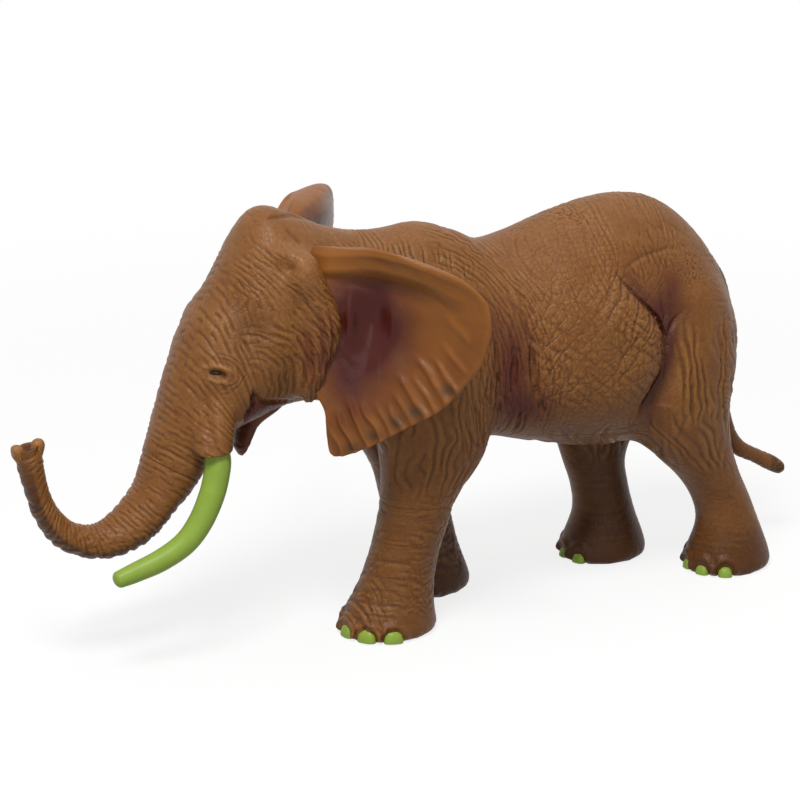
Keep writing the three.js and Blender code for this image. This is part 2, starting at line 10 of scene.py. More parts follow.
import bpy
import numpy as np
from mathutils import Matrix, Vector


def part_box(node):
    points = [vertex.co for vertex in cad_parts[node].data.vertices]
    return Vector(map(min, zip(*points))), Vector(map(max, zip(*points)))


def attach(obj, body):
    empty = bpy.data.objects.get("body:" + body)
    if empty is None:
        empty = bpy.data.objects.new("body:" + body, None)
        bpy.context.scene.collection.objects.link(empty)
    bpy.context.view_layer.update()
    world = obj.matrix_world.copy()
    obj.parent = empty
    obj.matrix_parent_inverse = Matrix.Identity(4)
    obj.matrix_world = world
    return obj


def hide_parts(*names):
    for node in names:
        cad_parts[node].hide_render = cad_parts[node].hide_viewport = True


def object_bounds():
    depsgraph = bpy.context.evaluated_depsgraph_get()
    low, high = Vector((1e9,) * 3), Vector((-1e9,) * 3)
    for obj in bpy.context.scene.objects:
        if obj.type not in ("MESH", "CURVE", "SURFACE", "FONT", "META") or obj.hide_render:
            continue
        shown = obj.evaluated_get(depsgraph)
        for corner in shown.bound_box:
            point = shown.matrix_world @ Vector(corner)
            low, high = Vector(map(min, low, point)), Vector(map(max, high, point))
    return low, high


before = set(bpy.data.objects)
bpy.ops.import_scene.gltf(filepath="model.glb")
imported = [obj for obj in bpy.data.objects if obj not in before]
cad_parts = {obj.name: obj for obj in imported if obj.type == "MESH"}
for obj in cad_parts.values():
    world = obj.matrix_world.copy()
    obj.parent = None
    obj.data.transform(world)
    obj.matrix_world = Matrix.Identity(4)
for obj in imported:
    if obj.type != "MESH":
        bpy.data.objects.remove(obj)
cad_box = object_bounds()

MM = 0.001

# %% [markdown]
# The figure was drawn in its own millimetres, with the neck seam 50 mm ahead of the drawing's
# zero. The frame stands it over the middle of its box, so one shift, read from two solids that
# are easy to find, takes a drawn point into the frame.

# %% Drawn millimetres to the frame's metres
NECK_X = -50.0
torso_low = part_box("torso")[0]
tusk_middle = (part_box("left_tusk")[0].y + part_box("right_tusk")[1].y) / 2
SHIFT = np.array([torso_low.x / MM - NECK_X, tusk_middle / MM, 0.0])
print("shift of the drawing, mm:", SHIFT.round(3))

# %% [markdown]
# The camera stands where the photograph was taken from: a little ahead of the left flank, a
# little above it, and close, so that near feet look lower than far ones. The lens is the focal
# length in pixels of an 800 pixel frame, brought to the width of the sensor.

# %% The camera
CAMERA_AZIMUTH = math.radians(-27.0)
CAMERA_ELEVATION = math.radians(17.53)
CAMERA_DISTANCE = 700.0
CAMERA_TARGET = np.array([-37.69, 0.0, 51.87])
FOCAL_PIXELS = 2999.0
FRAME_PIXELS = 800.0

camera_data = bpy.data.cameras.new("camera")
camera_data.lens = camera_data.sensor_width * FOCAL_PIXELS / FRAME_PIXELS
camera = bpy.data.objects.new("camera", camera_data)
bpy.context.scene.collection.objects.link(camera)
bpy.context.scene.camera = camera
toward_camera = np.array([
    math.sin(CAMERA_AZIMUTH) * math.cos(CAMERA_ELEVATION),
    -math.cos(CAMERA_AZIMUTH) * math.cos(CAMERA_ELEVATION),
    math.sin(CAMERA_ELEVATION),
])
camera.location = (CAMERA_TARGET + SHIFT + CAMERA_DISTANCE * toward_camera) * MM
camera.rotation_euler = (math.pi / 2 - CAMERA_ELEVATION, 0, CAMERA_AZIMUTH)
print("lens", round(camera_data.lens, 1), "mm")

# %% [markdown]
# Every form of the figure is a loft: an oval section that travels between a front line and a
# back line and swells with a side line. Three short functions do all of it. The first bends a
# smooth line through a few points, the second fills the section between the lines, and the third
# turns the grid of points into faces.

# %% Smooth lines through points
def curve(points, share):
    """A Catmull-Rom line through the points: between two points it is the cubic that leaves each
    with half the step from its neighbour before to its neighbour after. share runs 0 to 1."""
    points = np.asarray(points, float)
    ends = [2 * points[0] - points[1], 2 * points[-1] - points[-2]]
    row = np.vstack([ends[0], points, ends[1]])
    place = np.clip(share, 0, 1) * (len(points) - 1)
    k = np.minimum(place.astype(int), len(points) - 2)
    w = (place - k)[:, None]
    a, b, c, d = row[k], row[k + 1], row[k + 2], row[k + 3]
    out, back = (c - a) / 2, (d - b) / 2
    return b + out * w + (3 * (c - b) - 2 * out - back) * w**2 + (2 * (b - c) + out + back) * w**3


def ramp(low, high, value):
    """A smooth step: 0 below low, 1 above high, and 3t2 - 2t3 between them."""
    t = np.clip((value - low) / (high - low), 0, 1)
    return t * t * (3 - 2 * t)


def loft(front, back, side, rings, sides, bow=None, ridge=0.0, start=0.0):
    """A grid of rings by sides points. At angle a, a section's point is its middle, plus the
    half reach to its front point times cos a, plus its side vector times sin a narrowed toward
    the front by the ridge, plus its bow times sin a squared. start is the share of the lines
    where the rings begin."""
    share = start + (1 - start) * np.linspace(0, 1, rings)
    high, low, width = curve(front, share), curve(back, share), curve(side, share)
    middle, reach = (high + low) / 2, (high - low) / 2
    angle = np.linspace(0, 2 * np.pi, sides, endpoint=False)[None, :, None]
    c, s = np.cos(angle), np.sin(angle)
    grid = middle[:, None] + reach[:, None] * c + width[:, None] * s * (1 - ridge * c)
    if bow is not None:
        grid = grid + curve(bow, share)[:, None] * s * s
    return grid


def grid_faces(rings, sides):
    """The triangles between the rings of a closed tube, and a fan over each end."""
    i, j = np.meshgrid(np.arange(rings - 1), np.arange(sides), indexing="ij")
    a, b = (i * sides + j).ravel(), (i * sides + (j + 1) % sides).ravel()
    walls = np.vstack([np.c_[a, b, b + sides], np.c_[a, b + sides, a + sides]])
    k = np.arange(sides)
    last = (rings - 1) * sides
    start = np.c_[(k + 1) % sides, k, np.full(sides, rings * sides)]
    end = np.c_[last + k, last + (k + 1) % sides, np.full(sides, rings * sides + 1)]
    return np.vstack([walls, start, end])


def closed(grid):
    """Points and outward triangles of a closed loft, turned round if its volume is negative."""
    rings, sides = grid.shape[:2]
    points = np.vstack([grid.reshape(-1, 3), grid[0].mean(0), grid[-1].mean(0)])
    faces = grid_faces(rings, sides)
    a, b, c = (points[faces[:, k]] for k in range(3))
    if np.einsum("ij,ij->i", a, np.cross(b, c)).sum() < 0:
        faces = faces[:, ::-1]
    return points, faces


# %% [markdown]
# Blender keeps a surface as a mesh, a list of points and a list of faces. numpy works out both
# here, and one call hands them over, which is far quicker than adding faces one by one. Smooth
# shading hides the triangles, and an edge that is sharper than the named angle stays crisp.

# %% From numpy to a mesh
SHARP_ANGLE = 75.0


def make_object(name, points, faces, sharp_angle=SHARP_ANGLE):
    """An object at the origin whose mesh holds the drawn points, moved into the frame and kept
    inside the solids' box."""
    mesh = bpy.data.meshes.new(name)
    mesh.from_pydata(np.clip((points + SHIFT) * MM, *np.array(cad_box)), [], faces)
    mesh.shade_smooth()
    if sharp_angle:
        mesh.set_sharp_from_angle(angle=math.radians(sharp_angle))
    obj = bpy.data.objects.new(name, mesh)
    bpy.context.scene.collection.objects.link(obj)
    return obj


def store(obj, name, values):
    """Keeps one number for each point of the mesh, for its material to read."""
    layer = obj.data.attributes.new(name, "FLOAT", "POINT")
    layer.data.foreach_set("value", np.asarray(values, np.float32))


# %% [markdown]
# The barrel of the body is a loft along X. Its back line rises over the shoulders and the hips,
# its belly line hangs between the legs, and it narrows toward the spine like a roof with a round
# ridge. A table of shares was chosen over a stretched ball, because each row can be read off a
# side view and a change of length or height keeps the figure in proportion.

# %% The barrel
BARREL_LENGTH, WITHERS_HEIGHT, BARREL_HALF_WIDTH = 105.0, 95.0, 23.0
SPINE_RIDGE_SHARE = 0.16
# Each row: along, back line, belly line, half width
BARREL_SHARES = np.array([
    [0, .993, .52, .674], [.076, .987, .442, .739], [.162, .993, .421, .783],
    [.248, .963, .426, .826], [.314, .929, .432, .891], [.4, .942, .407, .957],
    [.495, .973, .381, 1], [.59, .997, .36, 1], [.676, 1.003, .36, .935],
    [.755, .985, .379, .87], [.828, .93, .4, .804], [.888, .855, .432, .696],
    [.93, .77, .474, .543], [.955, .69, .526, .348], [.965, .632, .579, .087],
])


def upright(x, z, y=0.0):
    """Points of the drawing from their x and z, on the middle plane or a given y."""
    x = np.asarray(x, float)
    return np.stack([x, np.broadcast_to(y, x.shape), np.broadcast_to(z, x.shape)], -1)


def sideways(y):
    """Side vectors of the given half widths."""
    return upright(np.zeros(len(y)), 0.0, np.asarray(y, float))


def barrel_lines():
    """Back, belly and side lines of the barrel."""
    along, top, bottom, width = BARREL_SHARES.T
    x = NECK_X + BARREL_LENGTH * along
    return (upright(x, WITHERS_HEIGHT * top), upright(x, WITHERS_HEIGHT * bottom),
            sideways(BARREL_HALF_WIDTH * width))


barrel = loft(*barrel_lines(), rings=160, sides=140, ridge=SPINE_RIDGE_SHARE)
print("barrel grid", barrel.shape[:2])

# %% [markdown]
# A leg of the figure is a soft column: it swells at the shoulder or the haunch, narrows at the
# shin and spreads into a round foot. Both forelegs share one table of swelling and both hind legs
# another. Each leg adds its own lean from its top to its foot, and the four leans are the stride.

# %% The legs
TRACK_HALF_WIDTH = 10.6
# Each row: height, half depth, half width, distance out from the middle
FORELEG_SHARES = np.array([
    [.98, .7, .3, 1.2], [.88, 1.08, .6, 1.3], [.73, 1.27, .74, 1.28], [.6, 1.29, .77, 1.23],
    [.5, 1.1, .77, 1.16], [.4, .8, .74, 1.08], [.31, .73, .7, 1.04], [.225, .71, .69, 1],
    [.138, .78, .74, 1], [.063, .93, .84, 1], [.02, 1, .87, 1], [0, .93, .79, 1],
])
HIND_LEG_SHARES = np.array([
    [.96, .56, .28, .98], [.87, 1.2, .64, 1.12], [.74, 1.48, .79, 1.2], [.6, 1.5, .83, 1.2],
    [.5, 1.31, .815, 1.17], [.405, 1.03, .75, 1.11], [.31, .745, .655, 1.04],
    [.226, .66, .63, 1], [.143, .7, .69, 1], [.06, .93, .8, 1], [.018, 1, .85, 1],
    [0, .94, .78, 1],
])
FORE = dict(rows=FORELEG_SHARES, height=80.0, radius=11.7, top_x=-35.0)
HIND = dict(rows=HIND_LEG_SHARES, height=84.0, radius=11.1, top_x=30.0)
LEGS = {
    "left_foreleg": dict(FORE, side=-1, foot_x=-46.3, turn=3.0,
                         lean=[0, .04, .03, 0, .08, .33, .48, .64, .82, .97, 1, 1]),
    "right_foreleg": dict(FORE, side=1, foot_x=-26.1, turn=-3.0,
                          lean=[0, .05, .15, .3, .45, .6, .72, .84, .95, 1, 1, 1]),
    "left_hind_leg": dict(HIND, side=-1, foot_x=47.7, turn=6.0,
                          lean=[-.1, -.06, -.04, -.02, .03, .26, .59, .84, .98, 1, 1, 1]),
    "right_hind_leg": dict(HIND, side=1, foot_x=24.6, turn=-26.0,
                           lean=[.1, .1, .2, .55, .98, 1.38, 1.55, 1.28, 1.02, 1, 1, 1]),
}


def leg_lines(leg):
    """Front, back and side lines of a leg, which leans from its top to its foot."""
    height, depth, width, out = leg["rows"].T
    x = leg["top_x"] + (leg["foot_x"] - leg["top_x"]) * np.array(leg["lean"])
    y = leg["side"] * TRACK_HALF_WIDTH * out
    z = leg["height"] * height
    return (upright(x - leg["radius"] * depth, z, y), upright(x + leg["radius"] * depth, z, y),
            sideways(leg["radius"] * width))


leg_grids = {name: loft(*leg_lines(leg), rings=120, sides=90) for name, leg in LEGS.items()}
print("legs", list(leg_grids))

# %% [markdown]
# The head and trunk are one loft whose sections turn from upright at the neck to lying flat at
# the curled tip. Two short swellings at the upper lip hold the tusk roots.

# %% The head and trunk
HEAD_REACH, THROAT_HEIGHT, HEAD_DEPTH, HEAD_HALF_WIDTH = 52.0, 54.0, 48.0, 17.0
TRUNK_REACH, TRUNK_DROP, TRUNK_HALF_WIDTH = 31.5, 28.0, 10.5
BROW_RIDGE_SHARE = 0.14
# Each row: forward and up to the brow line, forward and up to the throat line, half width
HEAD_SHARES = np.array([
    [.15, .885, .115, 0, .86], [.29, .96, .25, .04, .86], [.44, 1.009, .365, .035, .92],
    [.54, .91, .44, .02, .93], [.646, .71, .5, 0, .9], [.787, .49, .567, -.02, .83],
    [.877, .27, .635, -.052, .7], [.942, .0625, .72, -.115, .6],
])
# Each row: forward and down to the front line, forward and down to the back line, half width
TRUNK_SHARES = np.array([
    [0, .2, -.385, .44, .82], [.075, .44, -.195, .685, .7], [.225, .63, -.005, .905, .62],
    [.38, .725, .235, 1.015, .52], [.525, .695, .48, .995, .45], [.635, .59, .705, .855, .4],
    [.715, .43, .843, .615, .36], [.757, .24, .91, .365, .33], [.77, .06, .963, .13, .34],
    [.77, -.04, .99, .03, .36],
])
# Each row: along, up, out, radius
SHEATH_SHARES = np.array([
    [.68, .3, .42, .6], [.725, .15, .54, .85], [.765, .02, .66, .97], [.785, -.07, .735, .92],
])
SHEATH_RADIUS = 4.9


def head_place(along, up, y=0.0):
    """Forward from the neck seam and up from the throat, as shares of the head."""
    return upright(NECK_X - HEAD_REACH * np.asarray(along),
                   THROAT_HEIGHT + HEAD_DEPTH * np.asarray(up), y)


def trunk_place(along, drop):
    """Forward from the end of the head and down from the throat, as shares of the trunk."""
    return upright(NECK_X - HEAD_REACH - TRUNK_REACH * np.asarray(along),
                   THROAT_HEIGHT - TRUNK_DROP * np.asarray(drop))


def head_lines():
    """Front, back and side lines of the head and trunk, from the neck seam to the tip."""
    top, bottom, width = barrel_lines()
    h, t = HEAD_SHARES.T, TRUNK_SHARES.T
    return (np.vstack([top[:1], head_place(h[0], h[1]), trunk_place(t[0], t[1])]),
            np.vstack([bottom[:1], head_place(h[2], h[3]), trunk_place(t[2], t[3])]),
            np.vstack([width[:1], sideways(HEAD_HALF_WIDTH * h[4]), sideways(TRUNK_HALF_WIDTH * t[4])]))


def sheath(side):
    """The swelling of the lip round one tusk root."""
    along, up, out, radius = SHEATH_SHARES.T
    middle = head_place(along, up, side * HEAD_HALF_WIDTH * out)
    reach = upright(-SHEATH_RADIUS * radius, 0.0)
    return loft(middle + reach, middle - reach, sideways(SHEATH_RADIUS * radius), rings=30, sides=40)


head_grid = loft(*head_lines(), rings=260, sides=110, ridge=BROW_RIDGE_SHARE)
print("head and trunk grid", head_grid.shape[:2])

# %% [markdown]
# Each ear is its own piece of PVC, and the flesh of the cheek swells over the place where it goes
# in. A bent rod in front of the ear's root gives that swelling; it is joined to the head later.

# %% The flesh over the ear roots
EAR_LENGTH, EAR_HEIGHT = 42.0, 49.0
EAR_ROOT = (.346, .542, .88)
# Each ear: its side, degrees that it spreads from the body, millimetres its rear edge is raised
EARS = {"left_ear": (-1, 40.0, 0.0), "right_ear": (1, 38.0, 9.0)}
# Each row: millimetres back, up and out from the root of the ear, radius
EAR_WELT = np.array([
    [-10, 8, -4.5, 3.0], [-6, 12.3, -1.2, 4.2], [-2.6, 12, 0.2, 4.4], [-0.2, 8, -0.2, 4.1],
    [1.8, 4, -1.2, 3.7], [4.2, -1.6, -1, 3.5], [3.2, -7, -1, 3.4], [1.6, -12.5, -0.6, 3.2],
    [0.2, -18, -0.8, 2.5], [-1, -22, -2, 1.4],
])


def ear_frame(side, spread):
    """The root of an ear, the way back along it and the way that its front looks."""
    beta = math.radians(spread)
    backward = np.array([math.cos(beta), side * math.sin(beta), 0])
    facing = np.array([-math.sin(beta), side * math.cos(beta), 0])
    return head_place(EAR_ROOT[0], EAR_ROOT[1], side * HEAD_HALF_WIDTH * EAR_ROOT[2]), backward, facing


def welt_places(side, spread):
    """The line of the welt that swells over the root of an ear."""
    root, backward, facing = ear_frame(side, spread)
    back, up, out, _ = EAR_WELT.T
    return root + np.outer(back, backward) + np.outer(out, facing) + np.outer(up, [0, 0, 1])


# %% [markdown]
# The tail is a thin round rod that hangs from the rump. A rod is a loft as well: its front and
# back lines run one radius to either side of the line it follows.

# %% The line of the tail
TAIL_REACH, TAIL_DROP, TAIL_RADIUS = 22.5, 53.0, 3.2
TAIL_ROOT_X, TAIL_ROOT_HEIGHT = 48.5, 72.0
# Each row: backward, down, radius
TAIL_SHARES = np.array([
    [-.16, -.06, .9], [0, .05, .9], [.11, .2, .72], [.14, .42, .55], [.15, .62, .5],
    [.23, .775, .6], [.38, .868, .62], [.6, .922, .57], [.81, .972, .62], [.94, 1.006, .5],
    [.985, 1.018, .22],
])
SMALL_STEP = 1e-3


def rod_lines(places, radii):
    """Front, back and side lines of a round rod that follows the places."""
    share = np.linspace(0, 1, len(places))
    heading = curve(places, share + SMALL_STEP) - curve(places, share - SMALL_STEP)
    across = np.cross(heading, [0.0, 1.0, 0.0])
    across *= (radii / np.linalg.norm(across, axis=1))[:, None]
    return places + across, places - across, sideways(radii)


tail_places = upright(TAIL_ROOT_X + TAIL_REACH * TAIL_SHARES[:, 0],
                      TAIL_ROOT_HEIGHT - TAIL_DROP * TAIL_SHARES[:, 1])

# %% [markdown]
# One skin over them all: the closed lofts go into one mesh, a voxel remesh keeps only what shows
# from outside, and a few rounds of averaging will take out the voxel steps.

# %% One skin over all the lofts
SKIN_VOXEL = 0.9785


def read_mesh(mesh):
    """Points in drawn millimetres and triangles of a mesh."""
    mesh.calc_loop_triangles()
    points = np.empty(len(mesh.vertices) * 3)
    mesh.vertices.foreach_get("co", points)
    faces = np.empty(len(mesh.loop_triangles) * 3, np.int32)
    mesh.loop_triangles.foreach_get("vertices", faces)
    return points.reshape(-1, 3) / MM - SHIFT, faces.reshape(-1, 3)


def join_and_remesh(grids, voxel):
    """The outer skin of several closed lofts, as points and triangles."""
    points, faces, count = [], [], 0
    for grid in grids:
        p, f = closed(grid)
        points.append(p)
        faces.append(f + count)
        count += len(p)
    raw = make_object("raw_skin", np.vstack(points), np.vstack(faces), sharp_angle=None)
    remesh = raw.modifiers.new("one_skin", "REMESH")
    remesh.mode, remesh.voxel_size = "VOXEL", voxel * MM
    evaluated = raw.evaluated_get(bpy.context.evaluated_depsgraph_get())
    result = read_mesh(evaluated.to_mesh())
    evaluated.to_mesh_clear()
    bpy.data.objects.remove(raw)
    return result


welts = [loft(*rod_lines(welt_places(side, spread), EAR_WELT[:, 3]), rings=60, sides=30)
         for side, spread, _ in EARS.values()]
all_grids = [barrel, *leg_grids.values(), head_grid, sheath(-1), sheath(1), *welts]
skin, skin_faces = join_and_remesh(all_grids, SKIN_VOXEL)
print("skin", len(skin), "points", len(skin_faces), "triangles")

# %% [markdown]
# Averaging is the sculptor's wet thumb: each point moves half way to the mean of its neighbours.
# Averaging alone shrinks a form, so each round is followed by a slightly longer step back. The
# normals say which way each point looks; the wrinkles are pressed in along them later.

# %% Averaging and normals
AVERAGE_STEP, BACK_STEP = 0.5, -0.52


def sides_of(faces):
    """The three sides of each triangle, as pairs of points in the triangle's own direction."""
    return np.vstack([faces[:, [0, 1]], faces[:, [1, 2]], faces[:, [2, 0]]]).astype(np.int64)


def split_edges(faces, count):
    """Each edge once, lower point first, and for each triangle the numbers of its edges."""
    pairs = np.sort(sides_of(faces), axis=1)
    keys, number = np.unique(pairs[:, 0] * count + pairs[:, 1], return_inverse=True)
    return np.stack([keys // count, keys % count], 1), number.reshape(3, -1).T


def gather(edges, values, count):
    """For each point, the mean of the values of its neighbours."""
    ends, others = np.r_[edges[:, 0], edges[:, 1]], np.r_[edges[:, 1], edges[:, 0]]
    number = np.bincount(ends, minlength=count)[:, None]
    total = np.stack([np.bincount(ends, values[others, k], count) for k in range(values.shape[1])], 1)
    return total / np.maximum(number, 1)


def relax(points, edges, rounds, weight=1.0, steps=(AVERAGE_STEP, BACK_STEP)):
    """Moves each point by each step times its way to the mean of its neighbours, in every round."""
    weight = np.broadcast_to(weight, len(points))[:, None]
    for _ in range(rounds):
        for step in steps:
            points = points + weight * step * (gather(edges, points, len(points)) - points)
    return points


def normals_of(points, faces):
    """Point normals, each the mean of its faces' normals weighted by area."""
    a, b, c = (points[faces[:, k]] for k in range(3))
    n = np.cross(b - a, c - a)
    total = np.stack([sum(np.bincount(faces[:, k], n[:, m], len(points)) for k in range(3))
                      for m in range(3)], 1)
    return total / np.maximum(np.linalg.norm(total, axis=1, keepdims=True), 1e-9)


# %% [markdown]
# A signed measure says how far outside a limb or a rod a point lies, in millimetres, and below 0
# how far inside. It serves twice: it finds the places to melt, and later it draws the seams.

# %% How far a point lies outside a limb
ARCH_FROM, ARCH_TO, ARCH_SPREAD = 0.8, 1.01, 3
ROD_PLACES = 80
VERY_FAR = 1e9


def outside_leg(points, leg, grow=0.0):
    """Distance outside the oval section of a leg at the point's own height, its oval narrowing
    to nothing in an arch over the shoulder or hip."""
    height, depth, width, out = leg["rows"][::-1].T
    lean = np.array(leg["lean"][::-1])
    share = points[:, 2] / leg["height"]
    x = leg["top_x"] + (leg["foot_x"] - leg["top_x"]) * np.interp(share, height, lean)
    y = leg["side"] * TRACK_HALF_WIDTH * np.interp(share, height, out)
    arch = np.sqrt(np.clip(1 - np.clip((share - ARCH_FROM) / (ARCH_TO - ARCH_FROM), 0, 1)**2, 1e-4, 1))
    a = (leg["radius"] * np.interp(share, height, depth) + grow) * arch
    b = (leg["radius"] * np.interp(share, height, width) + grow + ARCH_SPREAD * (1 - arch)) * arch
    return (np.hypot((points[:, 0] - x) / a, (points[:, 1] - y) / b) - 1) * np.minimum(a, b)


def outside_rod(points, places, radii):
    """Distance outside a round rod, from the nearest of many places along it."""
    share = np.linspace(0, 1, ROD_PLACES)
    line = curve(places, share)
    size = np.interp(share, np.linspace(0, 1, len(radii)), radii)
    gap = np.full(len(points), VERY_FAR)
    for place, radius in zip(line, size):
        gap = np.minimum(gap, np.linalg.norm(points - place, axis=1) - radius)
    return gap


# %% [markdown]
# Where one form meets another, the figure was smoothed while the model was still soft. The melt
# is a weight from 0 to 1 on each point: high near the shoulders, the hips, the neck and the
# welts, and 0 near the feet, which stay crisp. Only weighted points are averaged again.

# %% Melting the joins
LIMB_MELT_MM, NECK_MELT_MM, WELT_MELT_MM = 4.0, 6.0, 3.0
WELT_MELT_SHARE, BODY_MELT_SHARE = 0.3, 0.35
SMOOTH_ROUNDS, MELT_ROUNDS = 6, 24

skin_edges = split_edges(skin_faces, len(skin))[0]
skin = relax(skin, skin_edges, SMOOTH_ROUNDS)
melt = sum(np.exp(-(outside_leg(skin, leg) / LIMB_MELT_MM)**2) * ramp(30, 44, skin[:, 2])
           for leg in LEGS.values())
melt = melt + np.exp(-((skin[:, 0] - NECK_X) / NECK_MELT_MM)**2)
for side, spread, _ in EARS.values():
    gap = outside_rod(skin, welt_places(side, spread), EAR_WELT[:, 3])
    melt = melt + WELT_MELT_SHARE * np.exp(-(gap / WELT_MELT_MM)**2)
melt = np.clip(melt + BODY_MELT_SHARE * ramp(-95, -60, skin[:, 0]), 0, 1)
melt = melt * ramp(16, 40, skin[:, 2])
skin = relax(skin, skin_edges, MELT_ROUNDS, weight=melt, steps=(AVERAGE_STEP,))
print("melted", int((melt > 0.5).sum()), "points near the limbs")

# %% [markdown]
# Skin detail is drawn by functions of a point's place, so that two pieces that share a seam get
# the same detail on both sides of it. Two kinds of random pattern are enough: soft noise, which
# makes lines wander and fade, and cells, which crack a surface into a net.

# %% Soft noise and cells
def lattice(i, j, k, seed):
    """A number from 0 to 1 for each corner of a unit lattice, mixed from its three indices."""
    h = (i.astype(np.uint32) * np.uint32(73856093)) ^ (j.astype(np.uint32) * np.uint32(19349663))
    h ^= (k.astype(np.uint32) * np.uint32(83492791)) + np.uint32(seed * 7919)
    h = (h ^ (h >> np.uint32(13))) * np.uint32(1274126177)
    h = (h ^ (h >> np.uint32(16))) * np.uint32(2246822519)
    return ((h ^ (h >> np.uint32(15))) & np.uint32(0xFFFFFF)) / 16777215.0


def noise(u, v=0.0, w=0.0, seed=0):
    """Value noise from -1 to 1: the eight corners round a point, mixed with a smooth step. Along
    an axis that holds one whole number, the far corners count for nothing and are left out."""
    reach = [1 if np.ndim(c) == 0 and c == np.floor(c) else 2 for c in (u, v, w)]
    u, v, w = np.broadcast_arrays(np.asarray(u, float), v, w)
    base = [np.floor(c).astype(np.int64) for c in (u, v, w)]
    part = [c - b for c, b in zip((u, v, w), base)]
    fade = [p * p * (3 - 2 * p) for p in part]
    total = np.zeros(u.shape)
    for bits in np.ndindex(*reach):
        weight = np.ones(u.shape)
        for bit, f in zip(bits, fade):
            weight = weight * (f if bit else 1 - f)
        total += weight * lattice(*(b + bit for b, bit in zip(base, bits)), seed)
    return 2 * total - 1


def cell_cracks(points, size, seed, width=0.16):
    """1 on the cracks between random cells of about the given size, falling to 0 inside them.
    Each unit box holds one random centre, and a crack lies where the two nearest are as near."""
    p = points / size
    p = p + 0.25 * np.stack([noise(p[:, 0], p[:, 1], p[:, 2], seed + k) for k in range(3)], 1)
    base = np.floor(p).astype(np.int64)
    first, second = np.full(len(p), 9.0), np.full(len(p), 9.0)
    for step in np.ndindex(3, 3, 3):
        box = base + np.array(step) - 1
        centre = np.stack([lattice(box[:, 0], box[:, 1], box[:, 2], seed + 11 * k) for k in range(3)], 1)
        gap = np.linalg.norm(box + 0.15 + 0.7 * centre - p, axis=1)
        second = np.minimum(second, np.maximum(first, gap))
        first = np.minimum(first, gap)
    return np.exp(-((second - first) / width)**2)


def folds(across, along, spacing, seed, wander=0.6, length=5.0, keep=0.0, pinch=3.0, jitter=0.35):
    """Grooves from 0 to 1 along lines of equal `across`, one every spacing. Noise bends the
    lines and lets each fade in and out over its length. A groove is a sharp valley, 1 less the
    distance to its line raised to the pinch, in a round dip, so that the skin between two
    grooves swells a little."""
    bend = noise(along / (spacing * length), across / (spacing * 2.5), seed=seed)
    shaken = noise(along / (spacing * 1.6), across / spacing, seed=seed + 1)
    row = across / spacing + wander * bend + jitter * shaken
    line = np.round(row)
    v = np.clip(1 - 2 * np.abs(row - line), 0, 1)
    valley = 0.6 * v**pinch + 0.4 * v * v * (3 - 2 * v)
    strength = noise(along / (spacing * length * 0.7), line * 7.31, seed=seed + 2)
    return valley * ramp(-0.35 - keep, 0.45 - keep, strength)


# %% [markdown]
# A crease of the figure is drawn as a line of places in side view, and a measure says how far a
# point lies from it and how far along it is. A groove is then one short formula of that distance.
# Two more helpers make a soft round place and a patch of short strokes.

# %% Distance from a drawn line on the side
LINE_STEPS = 60
STROKE_ANGLES, STROKE_PATCH = (24, 68, -48), 8.0


def from_line(points, line):
    """Distance in the XZ plane from a line of (x, z) places, negative ahead of it, and the share
    of the line at the nearest place."""
    line = np.asarray(line, float)
    path = curve(upright(line[:, 0], line[:, 1]), np.linspace(0, 1, LINE_STEPS))[:, [0, 2]]
    best, side, share = np.full(len(points), VERY_FAR), np.zeros(len(points)), np.zeros(len(points))
    xz = points[:, [0, 2]]
    for k, (a, b) in enumerate(zip(path[:-1], path[1:])):
        t = np.clip(((xz - a) @ (b - a)) / ((b - a) @ (b - a)), 0, 1)
        off = xz - a - t[:, None] * (b - a)
        gap = np.hypot(off[:, 0], off[:, 1])
        near = gap < best
        turn = (b[0] - a[0]) * off[:, 1] - (b[1] - a[1]) * off[:, 0]
        best = np.where(near, gap, best)
        side = np.where(near, np.sign(turn), side)
        share = np.where(near, (k + t) / (LINE_STEPS - 1), share)
    return best * side, share


def groove(distance, width):
    """1 on a line and a smooth fall to 0 at about twice the width."""
    return np.exp(-(distance / width)**2)


def blob(points, x, z, reach_x, reach_z, y=None, reach_y=6.0):
    """1 at a place on either flank, with a smooth fall to 0 round it."""
    q = ((points[:, 0] - x) / reach_x)**2 + ((points[:, 2] - z) / reach_z)**2
    if y is not None:
        q = q + ((np.abs(points[:, 1]) - y) / reach_y)**2
    return np.exp(-q)


def strokes(a, b, spacing, seed):
    """Short straight strokes in three directions, each direction kept to patches of its own."""
    depth = np.zeros(np.shape(a))
    for k, degrees in enumerate(STROKE_ANGLES):
        t = math.radians(degrees)
        here = ramp(-0.15, 0.3, noise(a / STROKE_PATCH, b / STROKE_PATCH, seed=seed + 5 * k))
        across, along = a * math.cos(t) + b * math.sin(t), b * math.cos(t) - a * math.sin(t)
        marks = folds(across, along, spacing, seed + 5 * k + 1, wander=0.3, length=3.0, pinch=3.5)
        depth = np.maximum(depth, here * marks)
    return depth


# %% [markdown]
# The rings of a trunk run across it wherever it curls, so they need the trunk's own coordinates:
# how far along it a point is, and how near to its front. They come from the sections of the
# head's loft: the nearest section is found, then the share between it and the next one.

# %% Along the head and trunk
HEAD_SECTIONS = 240


def head_sections():
    """Front and back points of the sections in side view, and millimetres along their middles."""
    share = np.linspace(0, 1, HEAD_SECTIONS)
    front, back, _ = head_lines()
    front, back = curve(front, share)[:, [0, 2]], curve(back, share)[:, [0, 2]]
    steps = np.linalg.norm(np.diff((front + back) / 2, axis=0), axis=1)
    return front, back, np.r_[0, np.cumsum(steps)]


